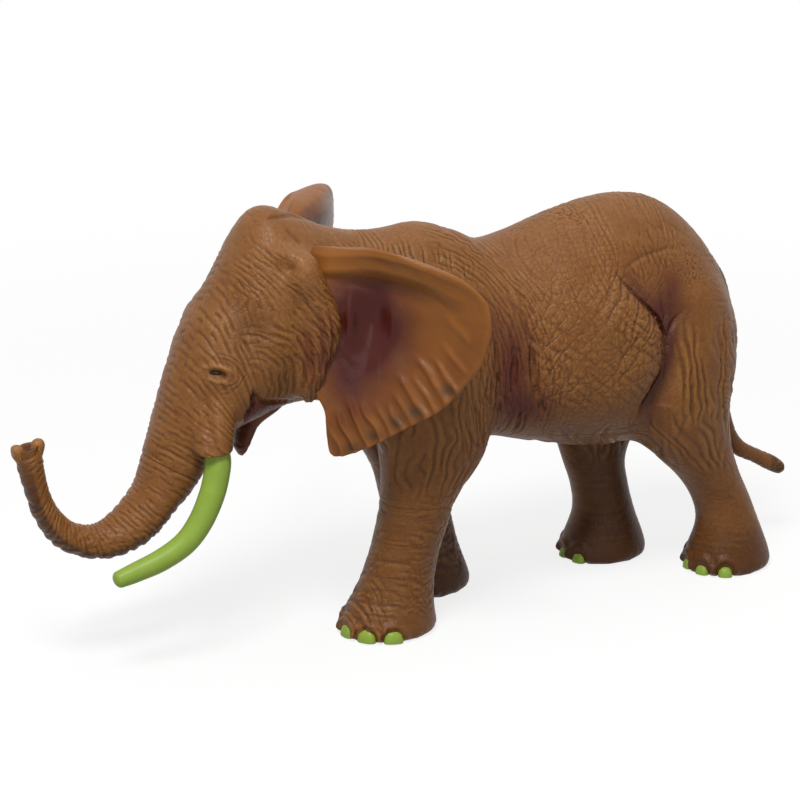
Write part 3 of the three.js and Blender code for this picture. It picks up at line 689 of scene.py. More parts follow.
def head_coordinates(points):
    """Millimetres along the middle line of the head and trunk, and nearness to the front line
    from 1 at the front to -1 at the throat."""
    front, back, station = head_sections()
    middle = (front + back) / 2
    xz = points[:, [0, 2]]
    best, found = np.full(len(points), VERY_FAR), np.zeros(len(points), int)
    for k in range(HEAD_SECTIONS):
        reach = front[k] - back[k]
        t = np.clip(((xz - back[k]) @ reach) / (reach @ reach), 0, 1)
        off = xz - back[k] - t[:, None] * reach
        gap = np.hypot(off[:, 0], off[:, 1])
        found = np.where(gap < best, k, found)
        best = np.minimum(best, gap)

    def ahead(k):
        """Millimetres that each point lies ahead of its section k."""
        reach = front[k] - back[k]
        across = np.stack([-reach[:, 1], reach[:, 0]], 1)
        heading = middle[np.minimum(k + 1, HEAD_SECTIONS - 1)] - middle[np.maximum(k - 1, 0)]
        across *= np.sign((across * heading).sum(1))[:, None] / np.linalg.norm(across, axis=1)[:, None]
        return ((xz - back[k]) * across).sum(1)

    gap = ahead(found)
    other = np.clip(found + np.where(gap > 0, 1, -1), 0, HEAD_SECTIONS - 1)
    step = np.abs(gap) / np.maximum(np.abs(gap) + np.abs(ahead(other)), 1e-9)
    place = found + (other - found) * np.clip(step, 0, 1)
    whole = np.arange(HEAD_SECTIONS)
    top = np.stack([np.interp(place, whole, front[:, m]) for m in range(2)], 1)
    low = np.stack([np.interp(place, whole, back[:, m]) for m in range(2)], 1)
    reach = (top - low) / 2
    nearness = ((xz - (top + low) / 2) * reach).sum(1) / (reach * reach).sum(1)
    return np.interp(place, whole, station), np.clip(nearness, -1.1, 1.1)


# %% [markdown]
# Now the sculpting itself. First the large soft forms that someone would press with a thumb: the
# round belly that ends in a crease ahead of the thigh, the hollow behind the elbow, the temple,
# the brow, the lid and the furrow beside the trunk. Places are millimetres on the drawing.

# %% Large soft forms
EYE_PLACE = (-88.9, 68.5)
EYE_SLIT = [(-90.5, 68.2), (-89.8, 68.6), (-88.9, 68.7), (-87.9, 68.3), (-87.1, 67.6)]
UPPER_LID = [(-91.8, 68.6), (-90.4, 69.8), (-88.8, 70.1), (-87.2, 69.6), (-85.9, 68.2)]
LOWER_LID = [(-91.0, 67.3), (-89.7, 66.8), (-88.2, 66.5), (-86.8, 66.8)]
FLANK_CREASE = [(8.5, 83), (11.5, 78.7), (14.6, 75), (18, 71.6), (20.9, 67.8), (21.6, 62.9),
                (20.5, 57), (17.6, 51.8), (16, 48.2), (17, 43.5)]
THIGH_CREASE = [(11.7, 80.8), (14, 82.2), (18.1, 83.4), (23, 83.9), (27, 83.9), (33, 82)]
THIGH_SECOND_CREASE = [(27.9, 71.1), (25.2, 68.1), (23, 64.2), (22.5, 56.9), (22.9, 53.4)]
THIGH_THIRD_CREASE = [(21.5, 79), (22.2, 74), (22.6, 70), (22.4, 66)]
ARMPIT_CREASES = [[(-12.9, 72.6), (-13.8, 66.4), (-13.8, 60.5), (-11.2, 51.9), (-6.8, 47.3)],
                  [(-18.4, 68), (-18.1, 64.4), (-18.1, 58.7), (-16.2, 52.5)],
                  [(-22.0, 71), (-22.5, 64), (-21.5, 57), (-20.4, 50)]]
CROWN_CREASES = [[(-74.3, 100.0), (-71.2, 100.6), (-65.7, 99.8), (-60.1, 97.7)],
                 [(-70.1, 98.7), (-68.9, 97.2), (-67.5, 95.7), (-66.1, 94.7)]]
EAR_FOLDS = [[(-65.2, 85.5), (-64.4, 80), (-63.9, 74), (-64.3, 68), (-65.4, 63.5)],
             [(-67.6, 83.5), (-66.6, 78), (-66.1, 72), (-66.6, 66.5)],
             [(-69.9, 79), (-69.0, 74), (-69.0, 69), (-69.8, 65)]]
JAW_LINE = [(-82.0, 63.5), (-81.1, 62.8), (-79.8, 61.8), (-78, 60.9), (-75.8, 60.3), (-71.6, 59.0),
            (-66, 57.5)]
MOUTH_CORNER = [(-82.0, 65.4), (-81.2, 62.9), (-81.2, 60.5), (-82.0, 58.3), (-81.6, 55)]
TRUNK_FURROW = [(-90.5, 66), (-92.0, 61), (-92.3, 55), (-91.0, 49.5)]


# Each row: millimetres out (below 0: in), x, z, reach in x and z, |y| and its reach
BODY_SWELLS = [(0.7, 3, 55, 13, 12, 20, 10), (-1.3, -17, 56, 5, 13, 18, 9), (0.6, 31, 60, 7, 14, 20, 9)]
HEAD_SWELLS = [(-0.9, -82.0, 76.5, 3.4, 5.0, 12, 7), (0.7, -87.5, 79.0, 3.2, 4.2, 9, 5),
               (0.5, -75.5, 73, 5, 6, 14, 7), (0.55, -88.4, 71.9, 3.3, 1.7, 9, 5),
               (0.35, -88.0, 66.6, 3.0, 1.1, 9, 5)]
EAR_HOLLOW = [(-0.8, -44, 70, 4, 12, 16, 9)]
# Each row: line, millimetres out, width, faded share at its ends, from and to which |y| it rises
BODY_LINES = [(THIGH_CREASE, -0.35, 0.5, 0.3, 3, 8), (THIGH_SECOND_CREASE, -0.8, 0.7, 0.3, 5, 12),
              (THIGH_THIRD_CREASE, -0.5, 0.7, 0.3, 5, 12)]
BODY_LINES += [(line, -0.75, 0.6, 0.3, 5, 12) for line in ARMPIT_CREASES]
HEAD_LINES = [(EYE_SLIT, -1.0, 0.5, 0.25, 5, 7), (UPPER_LID, 0.48, 0.55, 0.2, 5, 7),
              (LOWER_LID, 0.28, 0.45, 0.2, 5, 7), (MOUTH_CORNER, -1.2, 0.55, 0.3, 6, 10),
              (JAW_LINE, -1.0, 0.5, 0.3, 4, 6), (TRUNK_FURROW, -0.8, 1.3, 0.3, 3, 6)]
HEAD_LINES += [(line, -0.55, 0.6, 0.3, 8, 12) for line in EAR_FOLDS]
HEAD_LINES += [(line, -0.45, 0.4, 0.3, 0.5, 2) for line in CROWN_CREASES]


def ends_faded(share, margin=0.15):
    """1 along a line and a smooth fall to 0 within the margin from each end."""
    return ramp(0, margin, share) * ramp(0, margin, 1 - share)


def drawn_groove(points, line, width, margin=0.3):
    """1 along a drawn line, thinning out at both of its ends. Only points near the line count."""
    low, high = np.min(line, 0) - 3 * width, np.max(line, 0) + 3 * width
    near = ((points[:, [0, 2]] > low) & (points[:, [0, 2]] < high)).all(1)
    gap, share = from_line(points[near], line)
    depth = np.zeros(len(points))
    depth[near] = groove(gap, width) * ends_faded(share, margin)
    return depth


def blobs(points, rows):
    """The sum of blobs, each times the first number of its row."""
    return sum(amount * blob(points, *place) for amount, *place in rows)


def drawn_lines(points, rows):
    """The sum of drawn lines, each rising with the distance from the figure's middle plane."""
    out, m = np.zeros(len(points)), np.abs(points[:, 1])
    for line, amount, width, margin, flat, full in rows:
        out += amount * drawn_groove(points, line, width, margin) * ramp(flat, full, m)
    return out


def large_forms(points):
    """Millimetres in or out along the normal for the big soft forms."""
    x, y, _ = points.T
    body = ramp(NECK_X - 2, NECK_X + 4, x)
    gap, share = from_line(points, FLANK_CREASE)
    full_depth = ramp(0.15, 0.5, share)
    bulge = 1.3 * np.exp(-((gap + 7) / 6.5)**2)
    crease = 2.0 * groove(gap, 0.8) * (0.25 + 0.75 * full_depth)
    slope_behind = 1.5 * groove(gap - 3.0, 3.4) * (0.4 + 0.6 * full_depth)
    flank = ends_faded(share, 0.22) * ramp(5, 12, np.abs(y)) * (bulge - crease - slope_behind)
    on_body = flank + blobs(points, BODY_SWELLS) + drawn_lines(points, BODY_LINES)
    on_head = blobs(points, HEAD_SWELLS) + drawn_lines(points, HEAD_LINES)
    return on_body * body + on_head * (1 - body) + blobs(points, EAR_HOLLOW)


# %% [markdown]
# Then the folds and wrinkles. The photograph of such a figure shows several families of them,
# each with a direction of its own: arcs round the cheek, rings round the trunk, folds that run
# beside the ears, a net on the flanks, short strokes on the back and long drapes on the thighs.

# %% Wrinkles of the trunk, the face and the neck
CHEEK_CENTRE = (-82.0, 66.5)
# Both flanks share every formula, and a shift of the field gives the right one its own pattern
RIGHT_SHIFT_FACE, RIGHT_SHIFT_BODY = 30.0, 40.0


def cheek_field(x, z):
    """The measure whose steps are the cheek's folds, and the length along a fold. Above the
    centre it is the distance from it, below it the distance behind it, and high on the temple
    the folds stand up again."""
    dx, dz = x - CHEEK_CENTRE[0], z - CHEEK_CENTRE[1]
    ring = np.where(dz > 0, np.hypot(dx, dz), dx + 0.12 * dz)
    upper = dx + 0.9 * np.clip(dz - 15, 0, 13) + 6
    across = ring + ramp(10, 20, dz) * (upper - ring)
    return across, np.where(dz > 0, np.arctan2(dz, dx) * ring, dz)


def face_wrinkles(points, station, nearness):
    """Groove depth in millimetres on the head and trunk."""
    x, y, z = points.T
    m = np.abs(y)
    seed = np.where(y < 0, 0.0, RIGHT_SHIFT_FACE)
    # Arcs round the cheek, coarse ones and fine ones between them
    across, along = cheek_field(x, z)
    cheek = ramp(-84, -80, x + 0.25 * np.maximum(z - 76, 0)) * ramp(1.5, 4, across)
    cheek = cheek * ramp(3, 7, m) * ramp(98, 91, z) * ramp(NECK_X + 2, NECK_X - 4, x)
    deep = 0.75 + 0.5 * ramp(8, 14, across) * ramp(82, 74, z)
    near_ear = 1 - 0.85 * np.exp(-((x + 69) / 4.5)**2 - ((z - 92) / 4.5)**2)
    arcs = folds(across + seed, along, 1.7, 13, wander=0.35, length=1.8, keep=0.3, pinch=2.4, jitter=0.2)
    fine = folds(across + 0.6 + seed, along, 1.0, 17, wander=0.35, length=3.0, keep=0.1, jitter=0.2)
    depth = cheek * deep * near_ear * (0.29 * arcs + 0.17 * fine)
    # Rings round the trunk, which run on over the brow and stop at the eye
    trunk = ramp(62, 76, station)
    tip = ramp(130, 106, station)
    front = ramp(-78, -84, x) * ramp(97, 92, z)
    ringed = np.maximum(trunk * tip * ramp(-1.2, -0.2, nearness), front * ramp(18, 26, station))
    girth = 0.8 * y + 3.0 * nearness
    rings = folds(station, girth * 1.1, 1.25, 3, wander=0.2, length=2.0, keep=0.1, pinch=2.4, jitter=0.16)
    bold = folds(station + 0.4, girth, 2.5, 5, wander=0.2, length=1.7, pinch=3.5, jitter=0.16)
    clear = ramp(1.6, 3.0, np.hypot(x - EYE_PLACE[0], 1.3 * (z - EYE_PLACE[1])))
    brow = 1 + 0.5 * blob(points, -87, 76, 5, 6)
    depth = depth + ringed * brow * clear * (0.22 * rings + 0.13 * bold)
    # The scalloped underside of the trunk, the folds round the eye and the creases of the crown
    scallop = folds(station, y, 3.0, 9, wander=0.25, length=9.0, keep=1.0, pinch=2.0)
    depth = depth + 0.36 * scallop * trunk * ramp(124, 106, station) * ramp(-0.35, -0.8, nearness)
    from_eye = np.hypot(x - EYE_PLACE[0], (z - EYE_PLACE[1]) * 1.2)
    turn = np.arctan2(z - EYE_PLACE[1], x - EYE_PLACE[0]) * from_eye
    lid = ramp(2.6, 3.2, from_eye) * ramp(6.6, 5.0, from_eye)
    lid = lid * ramp(5, 7, m) * ramp(-90, -86.5, x)
    depth = depth + 0.196 * lid * folds(from_eye + 0.5, turn, 1.15, 23, wander=0.15, length=6.0, keep=0.5)
    crown = ramp(88, 93, z) * ramp(NECK_X, NECK_X - 4, x)
    return depth + 0.12 * crown * folds(x + 0.3 * z, y, 1.9, 29, length=3.0)


# %% [markdown]
# The hide of the barrel changes from place to place: folds that follow the ear, short ticks above
# its rim, deep folds behind the elbow, a net on the flank, creases that fan into the groin, and
# long drapes down the thigh. Each is a field that bends with the form, times a mask that keeps it
# to its place. Geometry was chosen over a bump, because folds this deep change the outline.

# %% Wrinkles of the barrel
# Folds that show along most of their length, with a rounder valley
SOFT = dict(keep=0.2, pinch=2.4)
EAR_CENTRE = (-42.0, 66.0)
FLANK_CREASE_MM = 45


def barrel_wrinkles(points):
    """Groove depth in millimetres on the shoulders, flanks, back and thighs."""
    x, y, z = points.T
    m = np.abs(y)
    seed = np.where(y < 0, 0.0, RIGHT_SHIFT_BODY)
    body = ramp(NECK_X - 3, NECK_X + 2, x)
    high, round_side = ramp(40, 46, z), ramp(4, 9, m)
    # Folds that follow the rear edge of the ear down over the shoulder
    dx, dz = x - EAR_CENTRE[0], z - EAR_CENTRE[1]
    from_ear = np.where(dz > 0, np.hypot(dx, dz), dx) + 0.06 * dz
    round_ear = np.where(dz > 0, np.arctan2(dz, dx) * np.maximum(from_ear, 1), dz)
    shoulder = body * ramp(40, 30, from_ear) * ramp(6, 14, dx) * high
    depth = shoulder * 0.30 * folds(from_ear + seed, round_ear, 1.15, 31, wander=0.5, keep=0.2)
    coarse = folds(from_ear + seed, round_ear, 2.4, 33, wander=0.5, length=4.0)
    depth += shoulder * ramp(34, 26, from_ear) * 0.34 * coarse
    # Short ticks above the rim of the ear
    above_rim = z - 88.6 + 0.32 * (x + 45)
    ticks = body * ramp(-2.5, -1, above_rim) * ramp(6, 3, above_rim) * ramp(-22, -28, x)
    depth += 0.38 * ticks * folds(x + seed, z, 1.3, 35, wander=0.3, length=2.2, keep=0.2)
    # Deep folds in the hollow behind the elbow
    elbow = blob(points, -17, 58, 8, 15) * body * high
    depth += elbow * 0.40 * folds(x + 0.12 * z + seed, z, 2.4, 37, length=3.4, **SOFT)
    depth += elbow * 0.16 * folds(x + 0.12 * z + seed, z, 1.15, 39, wander=0.5)
    # A net on the flank, of cells and of two crossing families of thin folds
    flank = body * ramp(-18, -8, x) * high
    gap, share = from_line(points, FLANK_CREASE)
    thigh = ramp(0.5, 3.5, gap) * ramp(10, 15, x) * high
    stretch = np.stack([x * 1.05 + 0.25 * z, y * 0.6, z * 0.85 - 0.2 * x], 1)
    weave = 0.35 + 0.65 * ramp(-0.5, 0.6, noise(x / 9, y / 9, z / 9, 43))
    netted = flank * (1 - thigh) * round_side * ramp(84, 76, z) * ramp(46, 54, z) * weave
    depth += 0.20 * netted * cell_cracks(stretch, 2.7, 41, 0.07)
    falling, rising = 0.62 * x + 0.78 * z, 0.70 * x - 0.71 * z
    thin = dict(wander=0.4, length=4.0, keep=0.1, pinch=7.0, jitter=0.15)
    crossed = np.maximum(folds(falling + seed, rising, 2.4, 44, **thin),
                         folds(rising + seed, falling, 2.4, 45, **thin))
    depth += 0.36 * netted * crossed
    depth += 0.08 * flank * (1 - thigh) * cell_cracks(points, 1.5, 47, 0.12)
    # Creases that fan into the fold before the thigh, and the sharp bottom of that fold
    fan = ramp(-15, -5, gap) * ramp(0.2, -1.4, gap)
    fan *= ramp(0.62, 0.3, share) * ramp(0.02, 0.12, share) * flank * round_side
    down = share * FLANK_CREASE_MM
    depth += fan * 0.38 * folds(down + 0.25 * gap + seed, gap, 2.2, 49, wander=0.5, length=3.0,
                                keep=0.3, pinch=2.4, jitter=0.2)
    depth += fan * 0.18 * folds(gap + seed, down, 1.8, 51, wander=0.4, length=2.5, keep=0.1, jitter=0.2)
    depth += 0.5 * body * round_side * groove(gap, 0.35) * ends_faded(share, 0.2)
    # Short strokes on the back, pits on the rump and above the shoulder
    back = flank * ramp(70, 80, z)
    depth += 0.20 * back * strokes(x + seed, z + 0.7 * m, 1.25, 53)
    rump = blob(points, 22, 95, 9, 4)
    depth += 0.22 * rump * folds(x + seed, z + m, 1.2, 57, wander=0.3, length=2.0, keep=0.2)
    pits = ramp(0.1, 0.6, noise(x / 0.5, y / 0.5, z / 0.5, 59))
    depth += 0.25 * pits * (blob(points, 31.5, 79, 4, 4) + blob(points, 4.5, 92.3, 4, 1.6)) * body
    # Ticks under the thigh's upper crease, then the long drapes of the thigh and the rump
    below = from_line(points, THIGH_CREASE)[0]
    ticked = thigh * ramp(-5.5, -4, -np.abs(below)) * ramp(12, 15, x) * ramp(34, 28, x)
    depth += 0.26 * ticked * folds(x + 0.15 * z + seed, z, 1.4, 60, wander=0.4, length=1.8)
    swing = x + 0.10 * (z - 50) - 0.003 * (z - 50)**2
    draped = thigh * ramp(70, 60, z) * ramp(22, 26, x) * ramp(26, 36, z)
    depth += draped * 0.46 * folds(swing + seed, z, 2.2, 61, wander=0.7, length=4.4, **SOFT)
    depth += draped * 0.26 * folds(swing + 0.35 * z + seed, z, 2.6, 63, wander=0.8, length=3.0)
    depth += 0.16 * thigh * ramp(34, 42, x) * folds(z + 0.3 * x + seed, x, 1.5, 65, length=3.0)
    # Lengthwise folds under the belly
    belly = ramp(46, 40, z) * ramp(-22, -14, x) * ramp(24, 16, x) * ramp(30, 34, z)
    return depth + 0.24 * belly * folds(z + 0.5 * m + seed, x, 1.7, 79, wander=0.7, length=7.0, keep=0.2)


# %% [markdown]
# A leg's folds stay with the leg as it leans, so they are drawn across its own middle line. High
# up they hang as pleats that cross like a braid, and the shin carries level bands and a weave.

# %% Wrinkles of the legs
def across_leg(points, leg):
    """Millimetres forward or back of a leg's middle line, on a leg of mean depth."""
    height, depth, _, _ = leg["rows"][::-1].T
    share = points[:, 2] / leg["height"]
    middle = leg["top_x"] + (leg["foot_x"] - leg["top_x"]) * np.interp(share, height, leg["lean"][::-1])
    return (points[:, 0] - middle) / np.interp(share, height, depth)


HIND_SHIN_SHARE = 0.25


def leg_wrinkles(points):
    """Groove depth in millimetres on the legs."""
    x, y, z = points.T
    seed = np.where(y < 0, 0.0, RIGHT_SHIFT_BODY)
    fore, hind = (np.where(y < 0, across_leg(points, LEGS[f"left_{pair}"]),
                           across_leg(points, LEGS[f"right_{pair}"])) for pair in ("foreleg", "hind_leg"))
    # Pleats and a braid on the upper foreleg and on the lower thigh
    ahead = ramp(-4, -12, x)
    on_fore = ahead * ramp(15, 12.5, np.abs(fore)) * ramp(NECK_X - 12, NECK_X - 6, x)
    pleated = on_fore * ramp(31, 40, z) * ramp(66, 54, z)
    depth = pleated * 0.36 * folds(fore + seed, z, 1.9, 67, wander=0.5, length=3.6, **SOFT)
    braid = on_fore * ramp(1.0, 5.0, fore) * ramp(24, 32, z) * ramp(64, 54, z)
    depth += braid * 0.30 * folds(fore + 0.42 * z + seed, z, 2.5, 68, wander=0.7, length=2.4, **SOFT)
    depth += braid * 0.24 * folds(fore - 0.30 * z + seed, z, 2.1, 69, wander=0.7, length=2.4)
    low_thigh = (1 - ahead) * ramp(24, 33, z) * ramp(48, 42, z)
    depth += low_thigh * 0.32 * folds(hind + 0.12 * z + seed, z, 2.2, 70, wander=0.8, length=3.4, **SOFT)
    depth += low_thigh * 0.24 * folds(hind - 0.40 * z + seed, z, 2.6, 72, wander=0.7, length=2.4)
    # Bands and a weave on the shins, fainter on the hind pair, and rings round the ankles
    shin = ramp(38, 30, z) * ramp(2.5, 6, z)
    bands = folds(z + 0.05 * x + seed, 1.1 * x + y, 2.2, 71, length=1.7, pinch=2.6)
    weft = folds(z + seed, 1.1 * x + y, 1.2, 74, wander=0.5, length=1.8)
    warp = folds(x + y + 0.2 * z + seed, z, 1.6, 75, wander=0.5, length=2.0)
    quiet = np.where(x > 10, HIND_SHIN_SHARE, 1.0)
    depth += shin * (0.17 * bands + 0.12 * weft + 0.09 * warp) * quiet
    ankle = ramp(17, 12, z) * ramp(4.5, 7.5, z)
    anklets = folds(z + seed, 1.1 * x + y, 1.7, 73, wander=0.4, length=2.4, pinch=2.2)
    depth += 0.16 * ankle * quiet * anklets
    return depth * ramp(2.5, 8, z)


def body_wrinkles(points):
    """Groove depth in millimetres everywhere behind the neck."""
    return barrel_wrinkles(points) + leg_wrinkles(points)


def tail_wrinkles(points):
    """Groove depth in millimetres on the tail: rings, then long hairs in its tuft."""
    x, y, z = points.T
    tuft = ramp(65.5, 68, x)
    hairs = folds(np.arctan2(y, z - 21.5) * 2.4, x, 0.8, 83, length=8.0, keep=0.4)
    rings = folds(z - 0.6 * x, y, 1.6, 89, wander=0.4, length=3.0)
    return (1 - tuft) * 0.12 * rings + tuft * 0.35 * hairs


# %% [markdown]
# The toes need a fold of skin over each nail. A nail sits on the rim of the sole at a named
# angle, so a point's distance from the outline of each nail gives the groove round it, the fat
# fold above it and the round toe behind.

# %% Places of the toenails
NAIL_ANGLES = {"foreleg": [-70, -35, 0, 35, 70], "hind_leg": [-52, -17, 17, 52]}
NAIL_HALF_WIDTH = {"foreleg": 2.3, "hind_leg": 2.1}
NAIL_HEIGHT, NAIL_HALF_DEPTH, NAIL_FLOOR_GAP = 2.7, 1.5, 0.7
NAIL_PAINTED = {"foreleg": 1.0, "hind_leg": 0.84}
SOLE_WIDTH_SHARE = 0.9
FOOT_HEIGHT, TOE_REACH = 14, 8


def nails_of(name):
    """Name, place, angle and half width of each nail of a leg."""
    leg, kind = LEGS[name], name.split("_", 1)[1]
    sit = leg["radius"] - NAIL_HALF_DEPTH / 2
    for number, degrees in enumerate(NAIL_ANGLES[kind], 1):
        angle = math.pi + math.radians(degrees + leg["turn"])
        place = np.array([leg["foot_x"] + sit * math.cos(angle),
                          leg["side"] * TRACK_HALF_WIDTH + sit * SOLE_WIDTH_SHARE * math.sin(angle),
                          NAIL_FLOOR_GAP])
        yield f"{name}_nail_{number}", place, angle, NAIL_HALF_WIDTH[kind]


def toe_forms(points):
    """Millimetres out for the fold over each nail and the toe behind it."""
    out = np.zeros(len(points))
    low = points[:, 2] < FOOT_HEIGHT
    for name in LEGS:
        for _, place, angle, half_width in nails_of(name):
            near = low & (np.linalg.norm(points - place, axis=1) < TOE_REACH)
            p = points[near] - place
            across = -p[:, 0] * math.sin(angle) + p[:, 1] * math.cos(angle)
            round_nail = np.hypot(across / half_width, np.maximum(p[:, 2], 0) / NAIL_HEIGHT)
            gap = (round_nail - 1) * (half_width + NAIL_HEIGHT) / 2
            fold = 0.40 * groove(gap - 1.0, 0.7) - 0.20 * groove(gap - 0.15, 0.4)
            fold -= 0.12 * groove(gap - 2.3, 0.6)
            toe = 0.24 * np.exp(-np.maximum(gap, 0) / 2.2)
            sunk = 0.4 * ramp(0.2, -0.8, gap)
            raised = ramp(0.2, 1.8, points[near, 2]) * (fold + toe * ramp(-0.2, 0.7, gap))
            outward = p[:, 0] * math.cos(angle) + p[:, 1] * math.sin(angle)
            out[near] += (raised - sunk) * ramp(-2.5, -1.0, outward)
    return out


# %% [markdown]
# The skin is made twice as fine by splitting each edge, and each new point is lifted off the
# flat face toward the planes that touch the skin at both ends of its edge, so that the finer
# skin stays round. Then the big forms push it along its normals.

# %% A finer skin
def refine(points, normals, faces, extras=()):
    """One round of splitting: a new point on each edge, three quarters of the way from the
    edge's middle to the mean of its feet on the touching planes at both ends."""
    edges, number = split_edges(faces, len(points))
    a, b = edges.T
    middle = (points[a] + points[b]) / 2
    foot_a = ((middle - points[a]) * normals[a]).sum(1, keepdims=True) * normals[a]
    foot_b = ((middle - points[b]) * normals[b]).sum(1, keepdims=True) * normals[b]
    fresh = middle - 0.75 * (foot_a + foot_b) / 2
    slope = normals[a] + normals[b]
    slope /= np.linalg.norm(slope, axis=1, keepdims=True)
    m = number + len(points)
    f = faces
    finer = np.vstack([np.c_[f[:, 0], m[:, 0], m[:, 2]], np.c_[f[:, 1], m[:, 1], m[:, 0]],
                       np.c_[f[:, 2], m[:, 2], m[:, 1]], m])
    grown = [np.concatenate([e, (e[a] + e[b]) / 2]) for e in extras]
    return np.vstack([points, fresh]), np.vstack([normals, slope]), finer, grown


skin_normals = normals_of(skin, skin_faces)
skin, skin_normals, skin_faces, _ = refine(skin, skin_normals, skin_faces)
station, nearness = np.zeros(len(skin)), np.zeros(len(skin))
on_head = skin[:, 0] < NECK_X + 6
station[on_head], nearness[on_head] = head_coordinates(skin[on_head])
skin = skin + skin_normals * (large_forms(skin) + toe_forms(skin))[:, None]
skin[:, 2] = np.maximum(skin[:, 2], 0)
skin_normals = normals_of(skin, skin_faces)
print("finer skin", len(skin), "points", len(skin_faces), "triangles")

# %% [markdown]
# The seams. Points next to a seam slide along their edges until they lie on it, so that whole
# triangles fall on one side or the other.

# %% Sliding points onto a seam
def slide_to_seam(points, faces, measure, fixed):
    """Moves the nearer end of each edge that crosses measure = 0 to the crossing, as the mean of
    the crossings that it has. fixed points stay. Returns the points, measures and moved marks."""
    edges, _ = split_edges(faces, len(points))
    a, b = edges.T
    cross = measure[a] * measure[b] < 0
    a, b = a[cross], b[cross]
    share = measure[a] / (measure[a] - measure[b])
    place = points[a] + share[:, None] * (points[b] - points[a])
    end = np.where((share < 0.5) != fixed[np.where(share < 0.5, a, b)], a, b)
    end = np.where(fixed[end], np.where(end == a, b, a), end)
    number = np.bincount(end, minlength=len(points))
    total = np.stack([np.bincount(end, place[:, k], len(points)) for k in range(3)], 1)
    moved = (number > 0) & ~fixed
    points, measure = points.copy(), measure.copy()
    points[moved] = total[moved] / number[moved, None]
    measure[moved] = 0
    return points, measure, moved


# %% [markdown]
# The toy was cast in parts, and its seams follow the limbs: a leg's seam runs a little outside its
# own loft, the head ends at the neck, and the trunk begins under the lip. The halves of the head
# and the quarters of the barrel have no seam on the toy. They are parted only to keep each mesh
# light, and since the detail is a function of place, nothing shows where they meet.

# %% Drawing the seams
HEAD_SHARE_END = 0.5
LEG_SEAM = 1.2
TORSO_PART_X = 3.0

head_end_station = np.interp(HEAD_SHARE_END, np.linspace(0, 1, HEAD_SECTIONS), head_sections()[2])
print("head ends at", round(float(head_end_station), 2), "mm along")
owner = np.full(len(skin_faces), "torso", dtype="U24")
fixed = np.zeros(len(skin), bool)


def own(measure, name, among):
    """Slides the skin to measure = 0 and gives the triangles inside it to the named piece."""
    global skin, fixed
    skin, measure, moved = slide_to_seam(skin, skin_faces, measure, fixed)
    fixed |= moved
    inside = measure[skin_faces].sum(1) < 0
    owner[inside & np.isin(owner, among)] = name


for name, leg in LEGS.items():
    own(outside_leg(skin, leg, LEG_SEAM), name, ["torso"])
own(skin[:, 0] - NECK_X, "head", ["torso"])
station[on_head], nearness[on_head] = head_coordinates(skin[on_head])
own(np.where(on_head, head_end_station - station, 1e3), "trunk", ["head"])
own(skin[:, 1], "head_left", ["head"])
own(skin[:, 1], "torso_left", ["torso"])
own(skin[:, 0] - TORSO_PART_X, "torso_left_front", ["torso_left"])
own(skin[:, 0] - TORSO_PART_X, "torso_right_front", ["torso"])
station[on_head], nearness[on_head] = head_coordinates(skin[on_head])
skin_normals = normals_of(skin, skin_faces)
print({name: int((owner == name).sum()) for name in np.unique(owner)})

# %% [markdown]
# A seam can leave a stray triangle on its wrong side, so a piece is the largest patch of its
# triangles. A cut skin is an open shell, and light would fall in, so walls close its rim.

# %% Taking one piece out of the skin
WALL_SHARES, WALL_DEPTH = (0.25, 0.5, 0.75), 1.5


def hang_together(groups, count):
    """A number for each point, the same for all that hang together: each takes the lowest number
    in its groups until nothing changes."""
    mark = np.arange(count)
    while True:
        low, fresh = mark[groups].min(1), mark.copy()
        for k in range(groups.shape[1]):
            np.minimum.at(fresh, groups[:, k], low)
        fresh = fresh[fresh]
        if (fresh == mark).all():
            return mark
        mark = fresh


def largest_patch(faces, count):
    """True for the triangles of the largest connected patch."""
    patch = hang_together(faces, count)[faces[:, 0]]
    names, sizes = np.unique(patch, return_counts=True)
    return patch == names[sizes.argmax()]


def take(name, rounds=0):
    """The points, normals, triangles and head coordinates of a piece, split further if asked."""
    faces = skin_faces[owner == name]
    faces = faces[largest_patch(faces, len(skin))]
    used, faces = np.unique(faces, return_inverse=True)
    faces = faces.reshape(-1, 3)
    points, normals, extras = skin[used], skin_normals[used], [station[used], nearness[used]]
    for _ in range(rounds):
        points, normals, faces, extras = refine(points, normals, faces, extras)
    return points, normals, faces, extras


def close_rims(points, faces, layers):
    """Closes each open rim with walls toward a point inside: the rim's middle, drawn a little
    into the piece. layers are further values of each point, carried along from the rim."""
    count = len(points)
    ends = sides_of(faces)
    keys, back = ends[:, 0] * count + ends[:, 1], ends[:, 1] * count + ends[:, 0]
    rim = ends[~np.isin(back, keys)]
    mark = hang_together(rim, count)
    body = points.mean(0)
    for loop in np.unique(mark[rim[:, 0]]):
        edge = rim[mark[rim[:, 0]] == loop]
        on = np.unique(edge)
        middle = points[on].mean(0)
        inward = body - middle
        middle = middle + inward / np.linalg.norm(inward) * WALL_DEPTH
        previous = np.arange(count)
        for share in WALL_SHARES:
            place = np.full(count, -1)
            place[on] = len(points) + np.arange(len(on))
            points = np.vstack([points, points[on] + share * (middle - points[on])])
            layers = [np.concatenate([v, v[on]]) for v in layers]
            a, b = edge.T
            faces = np.vstack([faces, np.c_[previous[b], previous[a], place[a]],
                               np.c_[previous[b], place[a], place[b]]])
            previous = place
        points = np.vstack([points, middle])
        layers = [np.append(v, v[on[0]]) for v in layers]
        a, b = edge.T
        faces = np.vstack([faces, np.c_[previous[b], previous[a], np.full(len(a), len(points) - 1)]])
    return points, faces, layers
